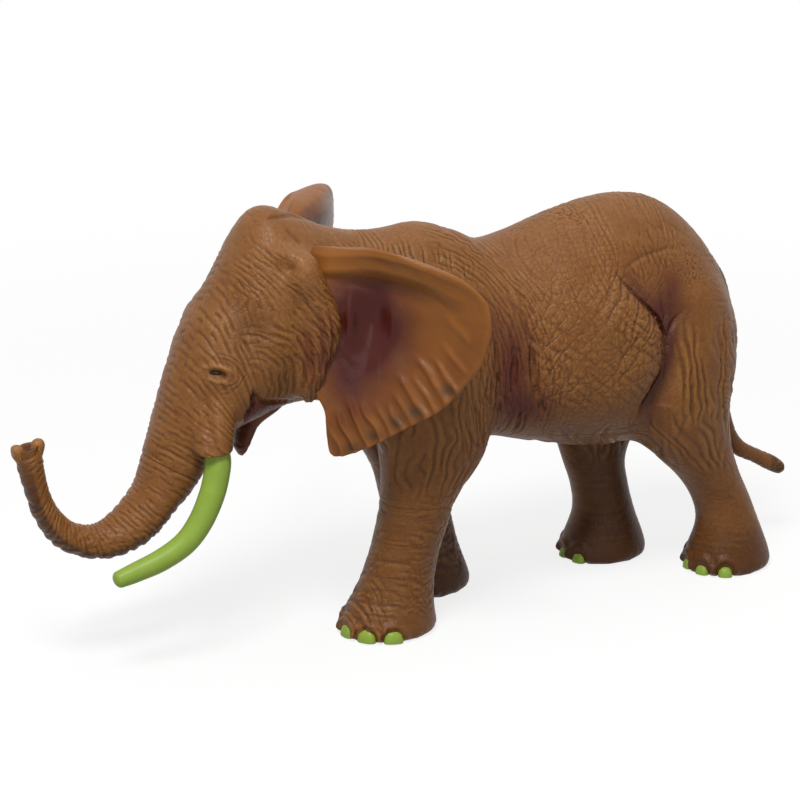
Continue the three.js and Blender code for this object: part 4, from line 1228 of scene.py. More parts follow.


# %% [markdown]
# Paint. The figure is cast in mid brown PVC, then a dark wash runs into the grooves, a tan dry
# brush catches the ridges, and a purple brown is sprayed into the hollows. Painted shade darkens
# the underside, the inner sides of the legs, the temple, the mouth and the creases of the crown,
# and painted highlights lighten the top of the back, the brow, the shoulder and the ridges. Where
# the paint and the painted light fell is a matter of place, so it is worked out here and kept on
# the points.

# %% Where the paint, the painted shade and the painted highlights fell
# Each row: share of paint, x and z of its middle, reach in x and z
SPRAYED = [(0.95, -18.5, 62, 5.5, 13), (0.75, -13, 51, 7, 5), (0.5, -24, 74, 3, 5),
           (0.8, 24.5, 73, 4, 7), (0.45, 22, 60, 3, 10), (0.6, 19, 46, 3, 5), (0.5, -66.5, 68, 3, 9)]
# Painted shade in the temple hollow, under the belly and over the middle of the flank
PAINTED_SHADE_SPOTS = [(0.42, -82, 76, 5, 9), (0.45, 5, 42, 14, 5), (0.16, 4, 64, 12, 12)]
# Tan dry brush and painted highlight on the brow, shoulder, crown, rump, flank and above the eye
BRUSHED_AND_HIGHLIGHT_SPOTS = [(0.7, -87, 79, 3, 5), (0.6, -22, 80, 5, 6), (1.0, -68.0, 90.5, 5.0, 5.0),
           (0.35, 31, 82, 8, 4), (0.45, 15, 73, 5, 5), (0.3, -89, 71, 3, 2)]
WASH_DEPTH_MM, BRUSH_HEIGHT_MM = 0.12, 0.08
WASH_ROUNDS, ROD_WASH_ROUNDS = 10, 8


def jaw_shade(points):
    """1 under the line of the lower jaw, on both cheeks: the painted shade under the cheek."""
    x, y, z = points.T
    jaw_x, jaw_z = np.array(JAW_LINE).T
    below = ramp(0.4, -0.6, z - np.interp(x, jaw_x, jaw_z))
    along = ramp(-82.8, -81.6, x) * ramp(-62, -68, x)
    return below * along * ramp(3, 5, np.abs(y)) * ramp(50, 52, z)


def lid_edges(points, upper, lower):
    """Shares of tan dry brush and painted highlight along both lids of the eyes."""
    return (upper * drawn_groove(points, UPPER_LID, 0.8, 0.1)
            + lower * drawn_groove(points, LOWER_LID, 0.6, 0.1))


def body_paint(points):
    """Shares from 0 to 1 of sprayed purple, dark brown and tan at each point; some of the purple
    and the dark brown are painted shade, and some of the tan is painted highlight.
    """
    x, y, z = points.T
    m = np.abs(y)
    gap, share = from_line(points, FLANK_CREASE)
    face, hind, jaw = ramp(5, 7, m), ramp(0, 12, x), jaw_shade(points)
    spray_and_shade = blobs(points, SPRAYED) + 0.75 * groove(gap - 1.2, 2.2) * ends_faded(share, 0.2)
    # Under the jaw line the purple is painted shade
    spray_and_shade = spray_and_shade * ramp(3, 9, m) + 0.8 * jaw
    spray_and_shade += sum(0.5 * face * drawn_groove(points, line, 0.8) for line in EAR_FOLDS)
    # The legs darken toward the feet, and the underside and the inner sides below the belly get painted
    # shade
    legs = 0.2 * (1 - hind) * ramp(34, 14, z) * ramp(2, 6, z) + 0.6 * hind * ramp(15, 7, z)
    belly = (0.15 + 0.8 * ramp(11, 5, m)) * ramp(46, 38, z)
    dark_paint_and_shade = legs + belly + blobs(points, PAINTED_SHADE_SPOTS) + 0.5 * jaw
    dark_paint_and_shade += 0.8 * face * drawn_groove(points, EYE_SLIT, 0.45, 0.1)
    # Painted shade in the mouth corner and in the creases of the crown
    dark_paint_and_shade += 0.9 * face * drawn_groove(points, MOUTH_CORNER, 0.9)
    dark_paint_and_shade += sum(0.35 * drawn_groove(points, line, 0.5) * (z > 90) for line in CROWN_CREASES)
    # Tan dry brush and painted highlight, lighter over the whole top of the back and the crown
    tan_and_highlight = blobs(points, BRUSHED_AND_HIGHLIGHT_SPOTS) + 0.4 * ramp(84, 96, z) + face * lid_edges(points, 1.3, 0.9)
    return np.clip(spray_and_shade, 0, 1), np.clip(dark_paint_and_shade, 0, 1), np.clip(tan_and_highlight, 0, 1)


def wash_and_brush(depth, faces, rounds):
    """Where a wash runs in and where a dry brush with painted highlight touches: a point's depth less
    the mean depth round it, which is found by some rounds of averaging each point with its neighbours."""
    a, b = faces.ravel(), np.roll(faces, -1, 1).ravel()
    number = 1 + np.bincount(a, minlength=len(depth)) + np.bincount(b, minlength=len(depth))
    mean = depth
    for _ in range(rounds):
        mean = (mean + np.bincount(a, mean[b], len(depth)) + np.bincount(b, mean[a], len(depth))) / number
    return np.clip((depth - mean) / WASH_DEPTH_MM, 0, 1), np.clip((mean - depth) / BRUSH_HEIGHT_MM, 0, 1)


def dress(name, points, normals, faces, coordinates, node, slot):
    """Presses the wrinkles into a piece, closes it and hands it to the frame."""
    depth = skin_wrinkles(points, *coordinates)
    spray_and_shade, dark_paint_and_shade, tan_and_highlight = body_paint(points)
    points = points - normals * depth[:, None]
    points[:, 2] = np.maximum(points[:, 2], 0)
    crease, ridge = wash_and_brush(depth, faces, WASH_ROUNDS)
    # The lids get dry brush and painted highlight along their ridges
    lids = np.minimum(lid_edges(points, 1.0, 0.7), 1)
    ridge = np.maximum(ridge, lids * ramp(5, 7, np.abs(points[:, 1])))
    points, faces, layers = close_rims(points, faces, [crease, ridge, spray_and_shade, dark_paint_and_shade, tan_and_highlight])
    obj = make_object(name, points, faces)
    for layer, values in zip(("crease", "ridge", "spray_and_shade", "dark_paint_and_shade", "tan_and_highlight"), layers):
        store(obj, layer, values)
    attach(obj, "root")
    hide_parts(node)
    print(name, len(faces), "triangles")
    return obj


def skin_wrinkles(points, station, nearness):
    """The face's and the body's grooves, handed over from one to the other across the neck."""
    depth = body_wrinkles(points)
    on_face = points[:, 0] < NECK_X + 5
    depth[on_face] += face_wrinkles(points[on_face], station[on_face], nearness[on_face])
    return depth

# %% [markdown]
# Now the skin is handed over piece by piece. The head, the barrel and the left legs are split once
# more, so that wrinkles well under a millimetre wide are geometry. The right legs stand on the
# far side and keep the coarser skin.

# %% The pieces of the skin
SPLIT_ONCE = ("head_left", "head_right", "torso_left_front", "torso_left_rear", "torso_right_front",
              "torso_right_rear")
hide_pieces, leg_pieces = [], []
owner[owner == "head"] = "head_right"
owner[owner == "torso_left"] = "torso_left_rear"
owner[owner == "torso"] = "torso_right_rear"
for name in SPLIT_ONCE:
    node = name.split("_")[0]
    hide_pieces.append(dress(f"{name}_skin", *take(name, rounds=1), node, "hide_pvc"))
for name in LEGS:
    rounds = 1 if name.startswith("left") else 0
    leg_pieces.append(dress(f"{name}_skin", *take(name, rounds), name, "leg_pvc"))

# %% [markdown]
# The trunk beyond the lip carries on as the same loft, so its own grid serves, finer than the
# skin. At its tip the grid closes over two round fingers, front and back, with the cup of the
# nostrils between them.

# %% The trunk
TRUNK_RINGS, TRUNK_SIDES = 330, 170
CUP_DEPTH, LIP_HEIGHT, TIP_NARROWING = 1.6, 0.6, 0.25
TIP_DRAWS = (0.98, 0.94, 0.88, 0.8, 0.7, 0.58, 0.45, 0.3, 0.15)
# Each row: outward from the middle of the tip, ahead of it, radius
FINGER = np.array([
    [0.9, -4.2, 1.0], [1.6, -2.4, 1.45], [2.2, -1.0, 1.55], [2.55, -0.1, 1.55], [2.75, 0.5, 1.35],
    [2.86, 0.9, 1.0], [2.92, 1.15, 0.6], [2.94, 1.22, 0.15],
])


def grid_normals(grid):
    """Outward normals of a tube grid from its steps along and round."""
    along = np.gradient(grid, axis=0)
    around = np.roll(grid, -1, 1) - np.roll(grid, 1, 1)
    n = np.cross(around, along)
    n /= np.maximum(np.linalg.norm(n, axis=2, keepdims=True), 1e-9)
    outward = np.sign(np.einsum("ijk,ijk->", n, grid - grid.mean(1, keepdims=True)))
    return n * outward


def trunk_tip(grid):
    """A cap of ever smaller rings closes the tip, sunk in the middle like a cup."""
    middle = grid[-1].mean(0)
    heading = tip_heading(grid)
    rim = grid[-1] - middle
    ahead = [LIP_HEIGHT * math.sqrt(1 - draw**2) - CUP_DEPTH * (1 - draw)**0.7 for draw in TIP_DRAWS]
    rings = [middle + rim * draw + heading * step for draw, step in zip(TIP_DRAWS, ahead)]
    return np.concatenate([grid, rings])


def tip_heading(grid):
    """The way the trunk points at its end."""
    heading = grid[-1].mean(0) - grid[-8].mean(0)
    return heading / np.linalg.norm(heading)


def finger(grid, side):
    """A round rod with a ball end that leans out from the tip to the front (1) or back (-1)."""
    heading = tip_heading(grid)
    outward = np.cross(heading, [0.0, 1.0, 0.0]) * side
    out, ahead, radius = FINGER.T
    places = grid[-1].mean(0) + np.outer(out, outward) + np.outer(ahead, heading)
    return loft(*rod_lines(places, radius), rings=70, sides=48)


# %% [markdown]
# The wrinkle functions press the same rings into this grid, so they run on across the seam.
# Painted shade darkens the underside and the cup of the nostrils, and the tip is brushed golden.

# %% The trunk's skin
raw_trunk = loft(*head_lines(), rings=TRUNK_RINGS, sides=TRUNK_SIDES, ridge=BROW_RIDGE_SHARE,
                 start=HEAD_SHARE_END)
flat_points = raw_trunk.reshape(-1, 3)
along, toward = head_coordinates(flat_points)
depth = skin_wrinkles(flat_points, along, toward)
depth += 0.3 * groove(along - head_end_station, 0.5)
pressed = raw_trunk - grid_normals(raw_trunk) * depth.reshape(raw_trunk.shape[:2])[:, :, None]
narrow = 1 - TIP_NARROWING * ramp(0.85, 0.97, np.linspace(0, 1, TRUNK_RINGS))[:, None, None]
ring_middles = pressed.mean(1, keepdims=True)
trunk_surface = trunk_tip(ring_middles + (pressed - ring_middles) * narrow)
trunk_points, trunk_faces = closed(trunk_surface)
extra = len(trunk_points) - len(depth)
trunk = make_object("trunk_skin", trunk_points, trunk_faces)
tan_and_highlight = body_paint(trunk_points)[2]
along = np.append(along, np.full(extra, along.max()))
toward = np.append(toward, np.zeros(extra))
# The cup of the nostrils gets painted shade and no tan
cup = np.repeat(ramp(1.0, 0.6, np.array(TIP_DRAWS)), TRUNK_SIDES)
cup = np.r_[np.zeros(len(depth)), cup, 0.0, 1.0]
# Painted shade along the underside of the trunk
underside_shade = ramp(-0.1, -0.45, toward) * ramp(128, 110, along)
underside_shade *= ramp(head_end_station - 4, head_end_station + 14, along)
crease, ridge = wash_and_brush(np.append(depth, np.zeros(extra)), trunk_faces, ROD_WASH_ROUNDS)
for layer, values in (("crease", crease), ("ridge", ridge * (1 - cup)),
                      ("tan_and_highlight", tan_and_highlight + ramp(134, 141, along) - cup), ("dark_paint_and_shade", underside_shade + cup)):
    store(trunk, layer, np.clip(values, 0, 1))
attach(trunk, "root")
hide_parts("head")
hide_pieces.append(trunk)
print("trunk", len(trunk_faces), "triangles")
for name, side in (("front_finger_skin", 1), ("back_finger_skin", -1)):
    knob = make_object(name, *closed(finger(raw_trunk, side)))
    store(knob, "tan_and_highlight", np.ones(len(knob.data.vertices)))
    store(knob, "ridge", np.ones(len(knob.data.vertices)))
    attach(knob, "root")
    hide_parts("head")
    hide_pieces.append(knob)

# %% [markdown]
# The ears are sheets of PVC, thick along the rolled upper rim and thin at the pleated lower edge.
# Each is a loft from the root line to the rim, bowed inward, and the pleats, the roll and the
# hollow are added as functions of how far back and how high a point is on the ear.

# %% The outline of the ears
EAR_THICKNESS, EAR_CUP = 2.6, 4.2
EAR_RINGS, EAR_SIDES, RIM_PLACES = 230, 270, 90
# Each row: back and up to the root line, how far in, back and up to the rim, how far in, cup
EAR_SHARES = np.array([
    [0, .35, -.13, .5, .305, 0, 0], [-.05, .27, -.1, .8, .22, 0, .35],
    [-.06, .17, -.03, .95, .12, 0, .8], [-.06, .06, 0, .985, 0, 0, 1],
    [-.06, -.04, 0, .965, -.1, 0, 1], [-.05, -.14, 0, .925, -.195, 0, .9],
    [-.04, -.24, 0, .835, -.295, 0, .75], [.02, -.35, 0, .715, -.405, 0, .6],
    [.085, -.455, 0, .525, -.505, 0, .4], [.092, -.555, 0, .37, -.585, 0, .25],
    [.108, -.635, 0, .225, -.645, 0, .1], [.13, -.66, 0, .16, -.66, 0, 0],
])
EAR_THICKNESS_SHARES = np.array([.55, .9, 1, 1, 1, 1, .95, .9, .85, .75, .6, .35])


def ear_grid(side, spread, lift):
    """The smooth grid of an ear, the way its front looks, and for its points the millimetres
    back and up, the distance from the outline, and 1 on the front face falling to -1 behind."""
    root, backward, facing = ear_frame(side, spread)

    def at(back, up, inward):
        """Points of the drawing from shares of the ear's length and height."""
        raised = EAR_HEIGHT * up + lift * np.maximum(0, back)**2
        return (root + np.outer(EAR_LENGTH * back, backward) + np.outer(EAR_LENGTH * inward, facing)
                + np.outer(raised, [0, 0, 1]))

    e = EAR_SHARES.T
    grid = loft(at(e[0], e[1], e[2]), at(e[3], e[4], e[5]),
                np.outer(EAR_THICKNESS / 2 * EAR_THICKNESS_SHARES, facing), EAR_RINGS, EAR_SIDES,
                bow=np.outer(-EAR_CUP * e[6], facing))
    back = (grid - root) @ backward
    up = (grid - root)[:, :, 2] - lift * np.maximum(0, back / EAR_LENGTH)**2
    outline = upright(np.r_[0, e[3]] * EAR_LENGTH, 0.0, np.r_[e[1][0], e[4]] * EAR_HEIGHT)
    rim = curve(outline, np.linspace(0, 1, RIM_PLACES))
    gap = np.full(back.shape, VERY_FAR)
    for a, b in zip(rim[:-1], rim[1:]):
        d = b - a
        t = np.clip(((back - a[0]) * d[0] + (up - a[1]) * d[1]) / (d @ d), 0, 1)
        gap = np.minimum(gap, np.hypot(back - a[0] - t * d[0], up - a[1] - t * d[1]))
    angle = np.linspace(0, 2 * np.pi, EAR_SIDES, endpoint=False)
    front = np.tanh(6 * np.broadcast_to(np.sin(angle), back.shape))
    return grid, facing, back, up, gap, front


# %% [markdown]
# An elephant's ear is stiff where it is thick and flutters where it is thin. So the upper rim is a
# fat roll, the middle sinks into a hollow, and pleats fan out from the root to the lower and rear
# edge. Each pleat is drawn by its own angle, so the edge scallops where the photo's does.

# %% The relief of the ears
PLEAT_CENTRE = (-40.0, 63.0)
# Each pleat: degrees round the fan, where it starts and ends, height, half width
EAR_PLEATS = [
    (-41.3, 95, 101, .3, 1.1), (-44.3, 99, 105, .35, .8), (-46.6, 100, 107, .6, .8),
    (-48.4, 97, 108, .7, .9), (-50.2, 100, 109, .5, .7), (-51.8, 98, 109, .75, .9),
    (-53.5, 101, 109, .5, .7), (-55.0, 102, 108, .55, .7), (-56.5, 101, 108, .45, .6),
    (-58.0, 99, 108, .75, .8), (-59.7, 97, 108, .8, .8), (-61.5, 98, 108, .7, .7),
    (-63.3, 96, 108, .6, .7), (-65.0, 96, 107, .5, .7),
]


def spot(back, up, at_back, at_up, reach_back, reach_up):
    """1 at a place of the ear, with a smooth fall to 0 round it."""
    return np.exp(-((back - at_back) / reach_back)**2 - ((up - at_up) / reach_up)**2)


def ear_roll(back, up, gap):
    """1 along the thick roll under the upper rim of an ear."""
    top = ramp(40, 24, back) * ramp(-2, 6, up)
    return top * ramp(-0.8, 1.8, gap) * ramp(8.2, 4.4, gap)


def pleats(back, up):
    """The pleats that fan out to the lower and rear edge, from 0 to about 1."""
    sweep = np.degrees(np.arctan2(up - PLEAT_CENTRE[1], back - PLEAT_CENTRE[0]))
    reach = np.hypot(up - PLEAT_CENTRE[1], back - PLEAT_CENTRE[0])
    out = np.zeros(back.shape)
    for degrees, start, end, height, width in EAR_PLEATS:
        off = np.radians(sweep - degrees) * reach + 0.5 * noise(reach / 4, degrees, seed=112)
        run = ramp(start - 3, start + 1.5, reach) * ramp(end + 2.5, end - 0.5, reach)
        out += height * np.exp(-(off / width)**2) * run
    return out, sweep, reach


# The deepest part of the hollow: back and up to its middle, reach back and up
HOLLOW_CORE = (13.6, -1.5, 3.4, 9.5)
# Each row: amount, then a place and its reach in the same way
BENT_PLACES = [(-1.6, *HOLLOW_CORE), (-0.8, 17, -3, 11, 14), (1.0, 8.8, -1.5, 1.1, 5),
               (0.5, 18.9, -1, 1.6, 6), (0.4, 14.5, -12, 1.2, 5)]
EAR_SPRAYED = [(1.25, 12.5, -2, 6, 12), (0.75, 18, -3, 7, 11), (0.75, 9, -15, 5, 9), (0.6, 6, 0, 4, 12)]
# Pale lilac spots in the hollow: a lilac tint and a painted sheen
EAR_LILAC_SHEEN = [(0.35, 17.5, 1, 3, 4), (0.35, 12, -14, 4, 5), (0.35, 19, -9, 3, 4)]
EDGE_STAINS = [(0.95, *place, 2.0, 1.5) for place in
               ((31.8, -15.2), (24.2, -20.6), (19.9, -23.4), (14.8, -27), (10, -30))]


def spots(back, up, rows):
    """The sum of spots, each times the first number of its row."""
    return sum(amount * spot(back, up, *place) for amount, *place in rows)


def ear_relief(back, up, gap, front):
    """Millimetres out along the way that the ear's front looks. Pleats and hollow bend both
    faces of the sheet, the roll swells each face its own way."""
    pleated, sweep, reach = pleats(back, up)
    under_roll = np.exp(-((gap - 9.3) / 2.2)**2) * ramp(-2, 4, up)
    under_roll = under_roll * ramp(2, 7, back) * ramp(30, 20, back)
    bent = pleated + 0.25 * noise(back / 9, up / 9, seed=111)
    bent += spots(back, up, BENT_PLACES) - 0.6 * under_roll
    roll = ear_roll(back, up, gap)
    veins = folds((sweep + 60) * 1.1, reach, 2.6, 109, wander=0.8, length=6.0, pinch=2.0)
    lip = np.exp(-((gap - 0.6) / 1.0)**2) * ramp(22, 34, back)
    uneven = 0.06 * noise(back / 2.5, up / 2.5, seed=113)
    swollen = 1.35 * roll * ramp(-3, 4, back) + uneven + 0.22 * lip
    before = 0.05 * veins * ramp(60, 75, reach) + 0.4 * spot(back, up, *HOLLOW_CORE)
    behind = 0.10 * folds(up + 0.5 * back, back, 2.2, 127, length=4.0)
    return bent + 0.25 * roll + front * swollen - np.where(front > 0, before, -behind)


def ear_paint(back, up, gap, front):
    """Purple in the hollow with a painted lilac sheen, grey brown in the valleys of the edge, golden
    on the rolled rim, and painted highlight along the rear rim and on the pleats.
    """
    outer = ramp(-0.2, 0.4, front)
    band = ramp(8.4, 6.2, gap) * ramp(40, 26, back) * ramp(3, 7, up)
    lilac_sheen = outer * spots(back, up, EAR_LILAC_SHEEN)
    spray_and_shade = spots(back, up, EAR_SPRAYED) * outer * (1 - 0.95 * band) * (1 - 0.5 * lilac_sheen)
    frayed = ramp(0.2, 0.8, gap + noise(back / 1.5, up / 1.5, seed=137))
    dark_paint_and_shade = outer * frayed * spots(back, up, EDGE_STAINS)
    pleated = pleats(back, up)[0]
    edge = ramp(9, 5, gap) * ramp(2, -4, up)
    crease = outer * edge * 0.45 * ramp(0.35, 0.1, pleated)
    # A painted highlight along the rear rim, and golden dry brush with painted highlight on the pleats
    rim = ramp(2.2, 0.6, gap) * ramp(28, 35, back)
    rear = ramp(18, 30, back) * ramp(-12, -2, up)
    golden = 0.85 * band * ramp(-2, 6, back) + 0.7 * rim + 0.45 * rear + 0.9 * edge * pleated
    tan_and_highlight = outer * golden + (1 - outer) * ramp(3.0, 1.0, gap)
    pale = (1 - outer) * ramp(19, 27, back) * ramp(1.2, 3.2, gap) + lilac_sheen
    return {"spray_and_shade": spray_and_shade, "dark_paint_and_shade": dark_paint_and_shade, "tan_and_highlight": tan_and_highlight, "pale": pale, "crease": crease}


# %% [markdown]
# Both ears are bent and painted, and the front of the rolled rim sags into the head's welt.

# %% The ears
EAR_SAG = 2.4
ear_pieces = []
for name, setting in EARS.items():
    grid, facing, *places = ear_grid(*setting)
    grid = grid + ear_relief(*places)[:, :, None] * facing
    grid[:, :, 2] -= EAR_SAG * ramp(17, -1, places[0]) * ramp(4, 14, places[1])
    points, faces = closed(grid)
    obj = make_object(f"{name}_skin", points, faces)
    for layer, values in ear_paint(*places).items():
        store(obj, layer, np.clip(np.r_[values.ravel(), values[0].mean(), values[-1].mean()], 0, 1))
    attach(obj, "root")
    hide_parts(name)
    ear_pieces.append(obj)
    print(name, len(faces), "triangles")

# %% [markdown]
# The tusks of the toy are cast apart in green PVC and glued into the lip. Each is a round rod
# through a few places, blunt at its end, and a little uneven, as a hand-finished mould leaves it.

# %% The tusks
TUSK_LENGTH, TUSK_RADIUS = 44.0, 3.0
# Each row: forward, down, outward, radius
TUSK_SHARES = np.array([
    [.005, -.11, -.01, .6], [0, 0, 0, .97], [.013, .09, .01, 1], [.05, .2, .02, .97],
    [.115, .32, .03, .94], [.205, .423, .03, .9], [.328, .495, .02, .84], [.465, .547, 0, .76],
    [.548, .573, -.01, .66], [.577, .582, -.012, .3],
])
TUSK_ROOT = (.762, -.09, .745)
TIP_BLUNTNESS, TUSK_UNEVEN_MM = 0.7, 0.06


def tusk_surface(side):
    """A round rod through the tusk's places, its surface a little uneven, as hand finished."""
    root = head_place(TUSK_ROOT[0], TUSK_ROOT[1], side * HEAD_HALF_WIDTH * TUSK_ROOT[2])
    forward, down, out, radius = TUSK_SHARES.T
    places = root + TUSK_LENGTH * np.stack([-forward, side * out, -down], 1)
    grid = loft(*rod_lines(places[:-1], TUSK_RADIUS * radius[:-1]), rings=200, sides=72)
    last = grid[-1].mean(0)
    heading = last - grid[-4].mean(0)
    heading /= np.linalg.norm(heading)
    size = np.linalg.norm(grid[-1] - last, axis=1).mean()
    cap = [last + (grid[-1] - last) * math.cos(t) + heading * size * TIP_BLUNTNESS * math.sin(t)
           for t in np.linspace(0.15, 1.45, 10)]
    grid = np.concatenate([grid, np.array(cap)])
    uneven = TUSK_UNEVEN_MM * noise(grid[:, :, 0] / 5, grid[:, :, 1] / 5, grid[:, :, 2] / 5, 141)
    return grid + grid_normals(grid) * uneven[:, :, None]


green_pieces = []
for name, side in (("left_tusk", -1), ("right_tusk", 1)):
    obj = make_object(f"{name}_ivory", *closed(tusk_surface(side)))
    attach(obj, "root")
    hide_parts(name)
    green_pieces.append(obj)

# %% [markdown]
# A toenail is a low pillow on the rim of the foot, round above and squarish in plan, and painted
# green by hand. A superellipse, an oval whose power is above 2, gives both outlines in one
# formula. The nail sits a little deep, so that the fold of skin runs round it without a gap.

# %% The toenails
ROUND_POWER, SQUARE_POWER = 2.4, 2.6
NAIL_SET_BACK, NAIL_LEAN, NAIL_FROM, NAIL_OVER = 0.4, 0.35, 0.3, 0.2
NAIL_SHARP_ANGLE = 50


def nail_surface(place, angle, half_width, painted):
    """Level sections, wide where (1 - height to the round power) to one over it is near 1."""
    height = np.linspace(0, 1, 28)[:, None]
    shrink = (1 - np.minimum(height, 0.995)**ROUND_POWER)**(1 / ROUND_POWER)
    turn = np.linspace(0, 2 * np.pi, 48, endpoint=False)[None, :]
    powers = np.abs(np.cos(turn))**SQUARE_POWER + np.abs(np.sin(turn))**SQUARE_POWER
    square = 1 / powers**(1 / SQUARE_POWER)
    outward = NAIL_HALF_DEPTH * shrink * square * np.cos(turn) - NAIL_SET_BACK
    across = half_width * painted * shrink * square * np.sin(turn)
    lean = -NAIL_LEAN * height**2
    x = place[0] + (outward + lean) * math.cos(angle) - across * math.sin(angle)
    y = place[1] + (outward + lean) * math.sin(angle) + across * math.cos(angle)
    return np.stack([x, y, NAIL_FROM + (NAIL_HEIGHT + NAIL_OVER) * painted * height + 0 * x], 2)


for name in LEGS:
    painted = NAIL_PAINTED[name.split("_", 1)[1]]
    for nail, place, angle, half_width in nails_of(name):
        surface = closed(nail_surface(place, angle, half_width, painted))
        obj = make_object(f"{nail}_paint", *surface, sharp_angle=NAIL_SHARP_ANGLE)
        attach(obj, "root")
        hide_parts(nail)
        green_pieces.append(obj)
print(len(green_pieces), "green pieces")

# %% [markdown]
# The lower jaw is the pointed lip under the root of the trunk. It is a loft of its own, let into
# the head from below, with a few level folds, and the spray darkens it toward its point.

# %% The lower jaw
# Each row: forward and up to the front line, forward and up to the back line, half width
JAW_SHARES = np.array([
    [.5, .17, .27, .125, .38], [.54, .0625, .37, .03, .353], [.562, -.045, .465, -.035, .247],
    [.577, -.13, .513, -.143, .18], [.572, -.165, .526, -.172, .13], [.558, -.192, .54, -.194, .06],
])
j = JAW_SHARES.T
jaw_grid = loft(head_place(j[0], j[1]), head_place(j[2], j[3]),
                sideways(HEAD_HALF_WIDTH * j[4]), rings=150, sides=90)
jaw_x, jaw_y, jaw_z = np.moveaxis(jaw_grid, 2, 0)
jaw_depth = 0.16 * folds(jaw_z - 0.3 * jaw_x, jaw_y, 2.0, 149, length=4.0)
jaw_grid = jaw_grid - grid_normals(jaw_grid) * jaw_depth[:, :, None]
jaw_points, jaw_faces = closed(jaw_grid)
jaw = make_object("lower_jaw_skin", jaw_points, jaw_faces)
store(jaw, "crease", np.r_[np.clip(jaw_depth / 0.45, 0, 1).ravel(), 0, 0])
store(jaw, "spray_and_shade", np.clip(0.3 + 0.5 * ramp(60, 50, jaw_points[:, 2]), 0, 1))
store(jaw, "dark_paint_and_shade", 0.3 * ramp(50, 46, jaw_points[:, 2]))
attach(jaw, "root")
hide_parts("lower_jaw")
hide_pieces.append(jaw)
print("lower jaw", len(jaw_faces), "triangles")

# %% [markdown]
# The tail's rod is made once more on a finer grid. Rings run round its length, long hairs are
# scored into the tuft, and the tuft is washed nearly black with tan flecks left on the hairs.

# %% The tail
FLECK_MM = 0.6
fine_tail = loft(*rod_lines(tail_places, TAIL_RADIUS * TAIL_SHARES[:, 2]), rings=330, sides=72)
tail_depth = tail_wrinkles(fine_tail.reshape(-1, 3)).reshape(fine_tail.shape[:2])
fine_tail = fine_tail - grid_normals(fine_tail) * tail_depth[:, :, None]
tail_points, tail_faces = closed(fine_tail)
tail = make_object("tail_skin", tail_points, tail_faces)
crease, ridge = wash_and_brush(np.r_[tail_depth.ravel(), 0, 0], tail_faces, ROD_WASH_ROUNDS)
store(tail, "crease", crease)
store(tail, "ridge", ridge)
flecks = ramp(0.15, 0.5, noise(*(tail_points / FLECK_MM).T, 91))
tail_x = tail_points[:, 0]
tuft = ramp(65, 67.5, tail_x)
store(tail, "dark_paint_and_shade", tuft * (1 - 0.7 * flecks))
before_tuft = ramp(56, 62, tail_x) * ramp(67, 65, tail_x)
store(tail, "tan_and_highlight", np.clip(0.5 * before_tuft + flecks * tuft, 0, 1))
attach(tail, "root")
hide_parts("tail")
leg_pieces.append(tail)
print("tail", len(tail_faces), "triangles")

# %% [markdown]
# The eyes are narrow dark slits under heavy lids. The ball is a small flattened globe, tilted with
# the cheek: the skin's own slope at the slit is measured, and the ball is set into its floor so
# that only a sliver of enamel shows.

# %% The eyes
EYE_HALF_SIZES = np.array([1.2, 0.9, 0.5])
EYE_SHOWS, EYE_NEAR = 0.35, 0.9
eye_pieces = []
for name, side in (("left_eye", -1), ("right_eye", 1)):
    from_eye = np.hypot(skin[:, 0] - EYE_PLACE[0], skin[:, 2] - EYE_PLACE[1])
    near = (side * skin[:, 1] > 3) & (from_eye < EYE_NEAR)
    floor_of_slit = np.abs(skin[near, 1]).mean()
    slope = np.polyfit(skin[near, 0], np.abs(skin[near, 1]), 1)[0]
    out = floor_of_slit + EYE_SHOWS - EYE_HALF_SIZES[1]
    middle = np.array([EYE_PLACE[0], side * out, EYE_PLACE[1]])
    up = np.linspace(-0.999, 0.999, 40)[:, None]
    turn = np.linspace(0, 2 * np.pi, 48, endpoint=False)[None, :]
    round_in = np.sqrt(1 - up**2)
    ball = np.stack([round_in * np.cos(turn), round_in * np.sin(turn), up + 0 * turn], 2)
    ball = ball * EYE_HALF_SIZES
    ball[:, :, 1] += side * slope * ball[:, :, 0]
    obj = make_object(f"{name}_enamel", *closed(middle + ball))
    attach(obj, "root")
    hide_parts(name)
    eye_pieces.append(obj)
    print(name, "sits", round(float(floor_of_slit), 2), "mm out")

# %% [markdown]
# The materials. PVC comes out of the mould with a satin face, and the washes over it are thin
# and matt, so the roughness wanders a little where the paint lies. A material here is a chain of
# nodes, and a few small functions keep it short: one adds a node, one mixes two colours, and one
# scales a value.

# %% Helpers for materials
def linear(hex_colour):
    """A linear colour from an sRGB hex value."""
    parts = [int(hex_colour[k:k + 2], 16) / 255 for k in (1, 3, 5)]
    return [p / 12.92 if p <= 0.04045 else ((p + 0.055) / 1.055)**2.4 for p in parts] + [1.0]


def add(tree, kind, settings=None, links=None):
    """Adds a node, sets its properties or inputs by name, and links inputs to sockets."""
    node = tree.nodes.new(kind)
    for key, value in (settings or {}).items():
        if hasattr(node, key) and key not in node.inputs:
            setattr(node, key, value)
        else:
            node.inputs[key].default_value = value
    for key, socket in (links or {}).items():
        tree.links.new(socket, node.inputs[key])
    return node


def start_material(name):
    """An empty material with its shader and the object's own coordinates."""
    material = bpy.data.materials.new(name)
    material.use_nodes = True
    tree = material.node_tree
    shader = tree.nodes["Principled BSDF"]
    return material, tree, shader, tree.nodes.new("ShaderNodeTexCoord").outputs["Object"]


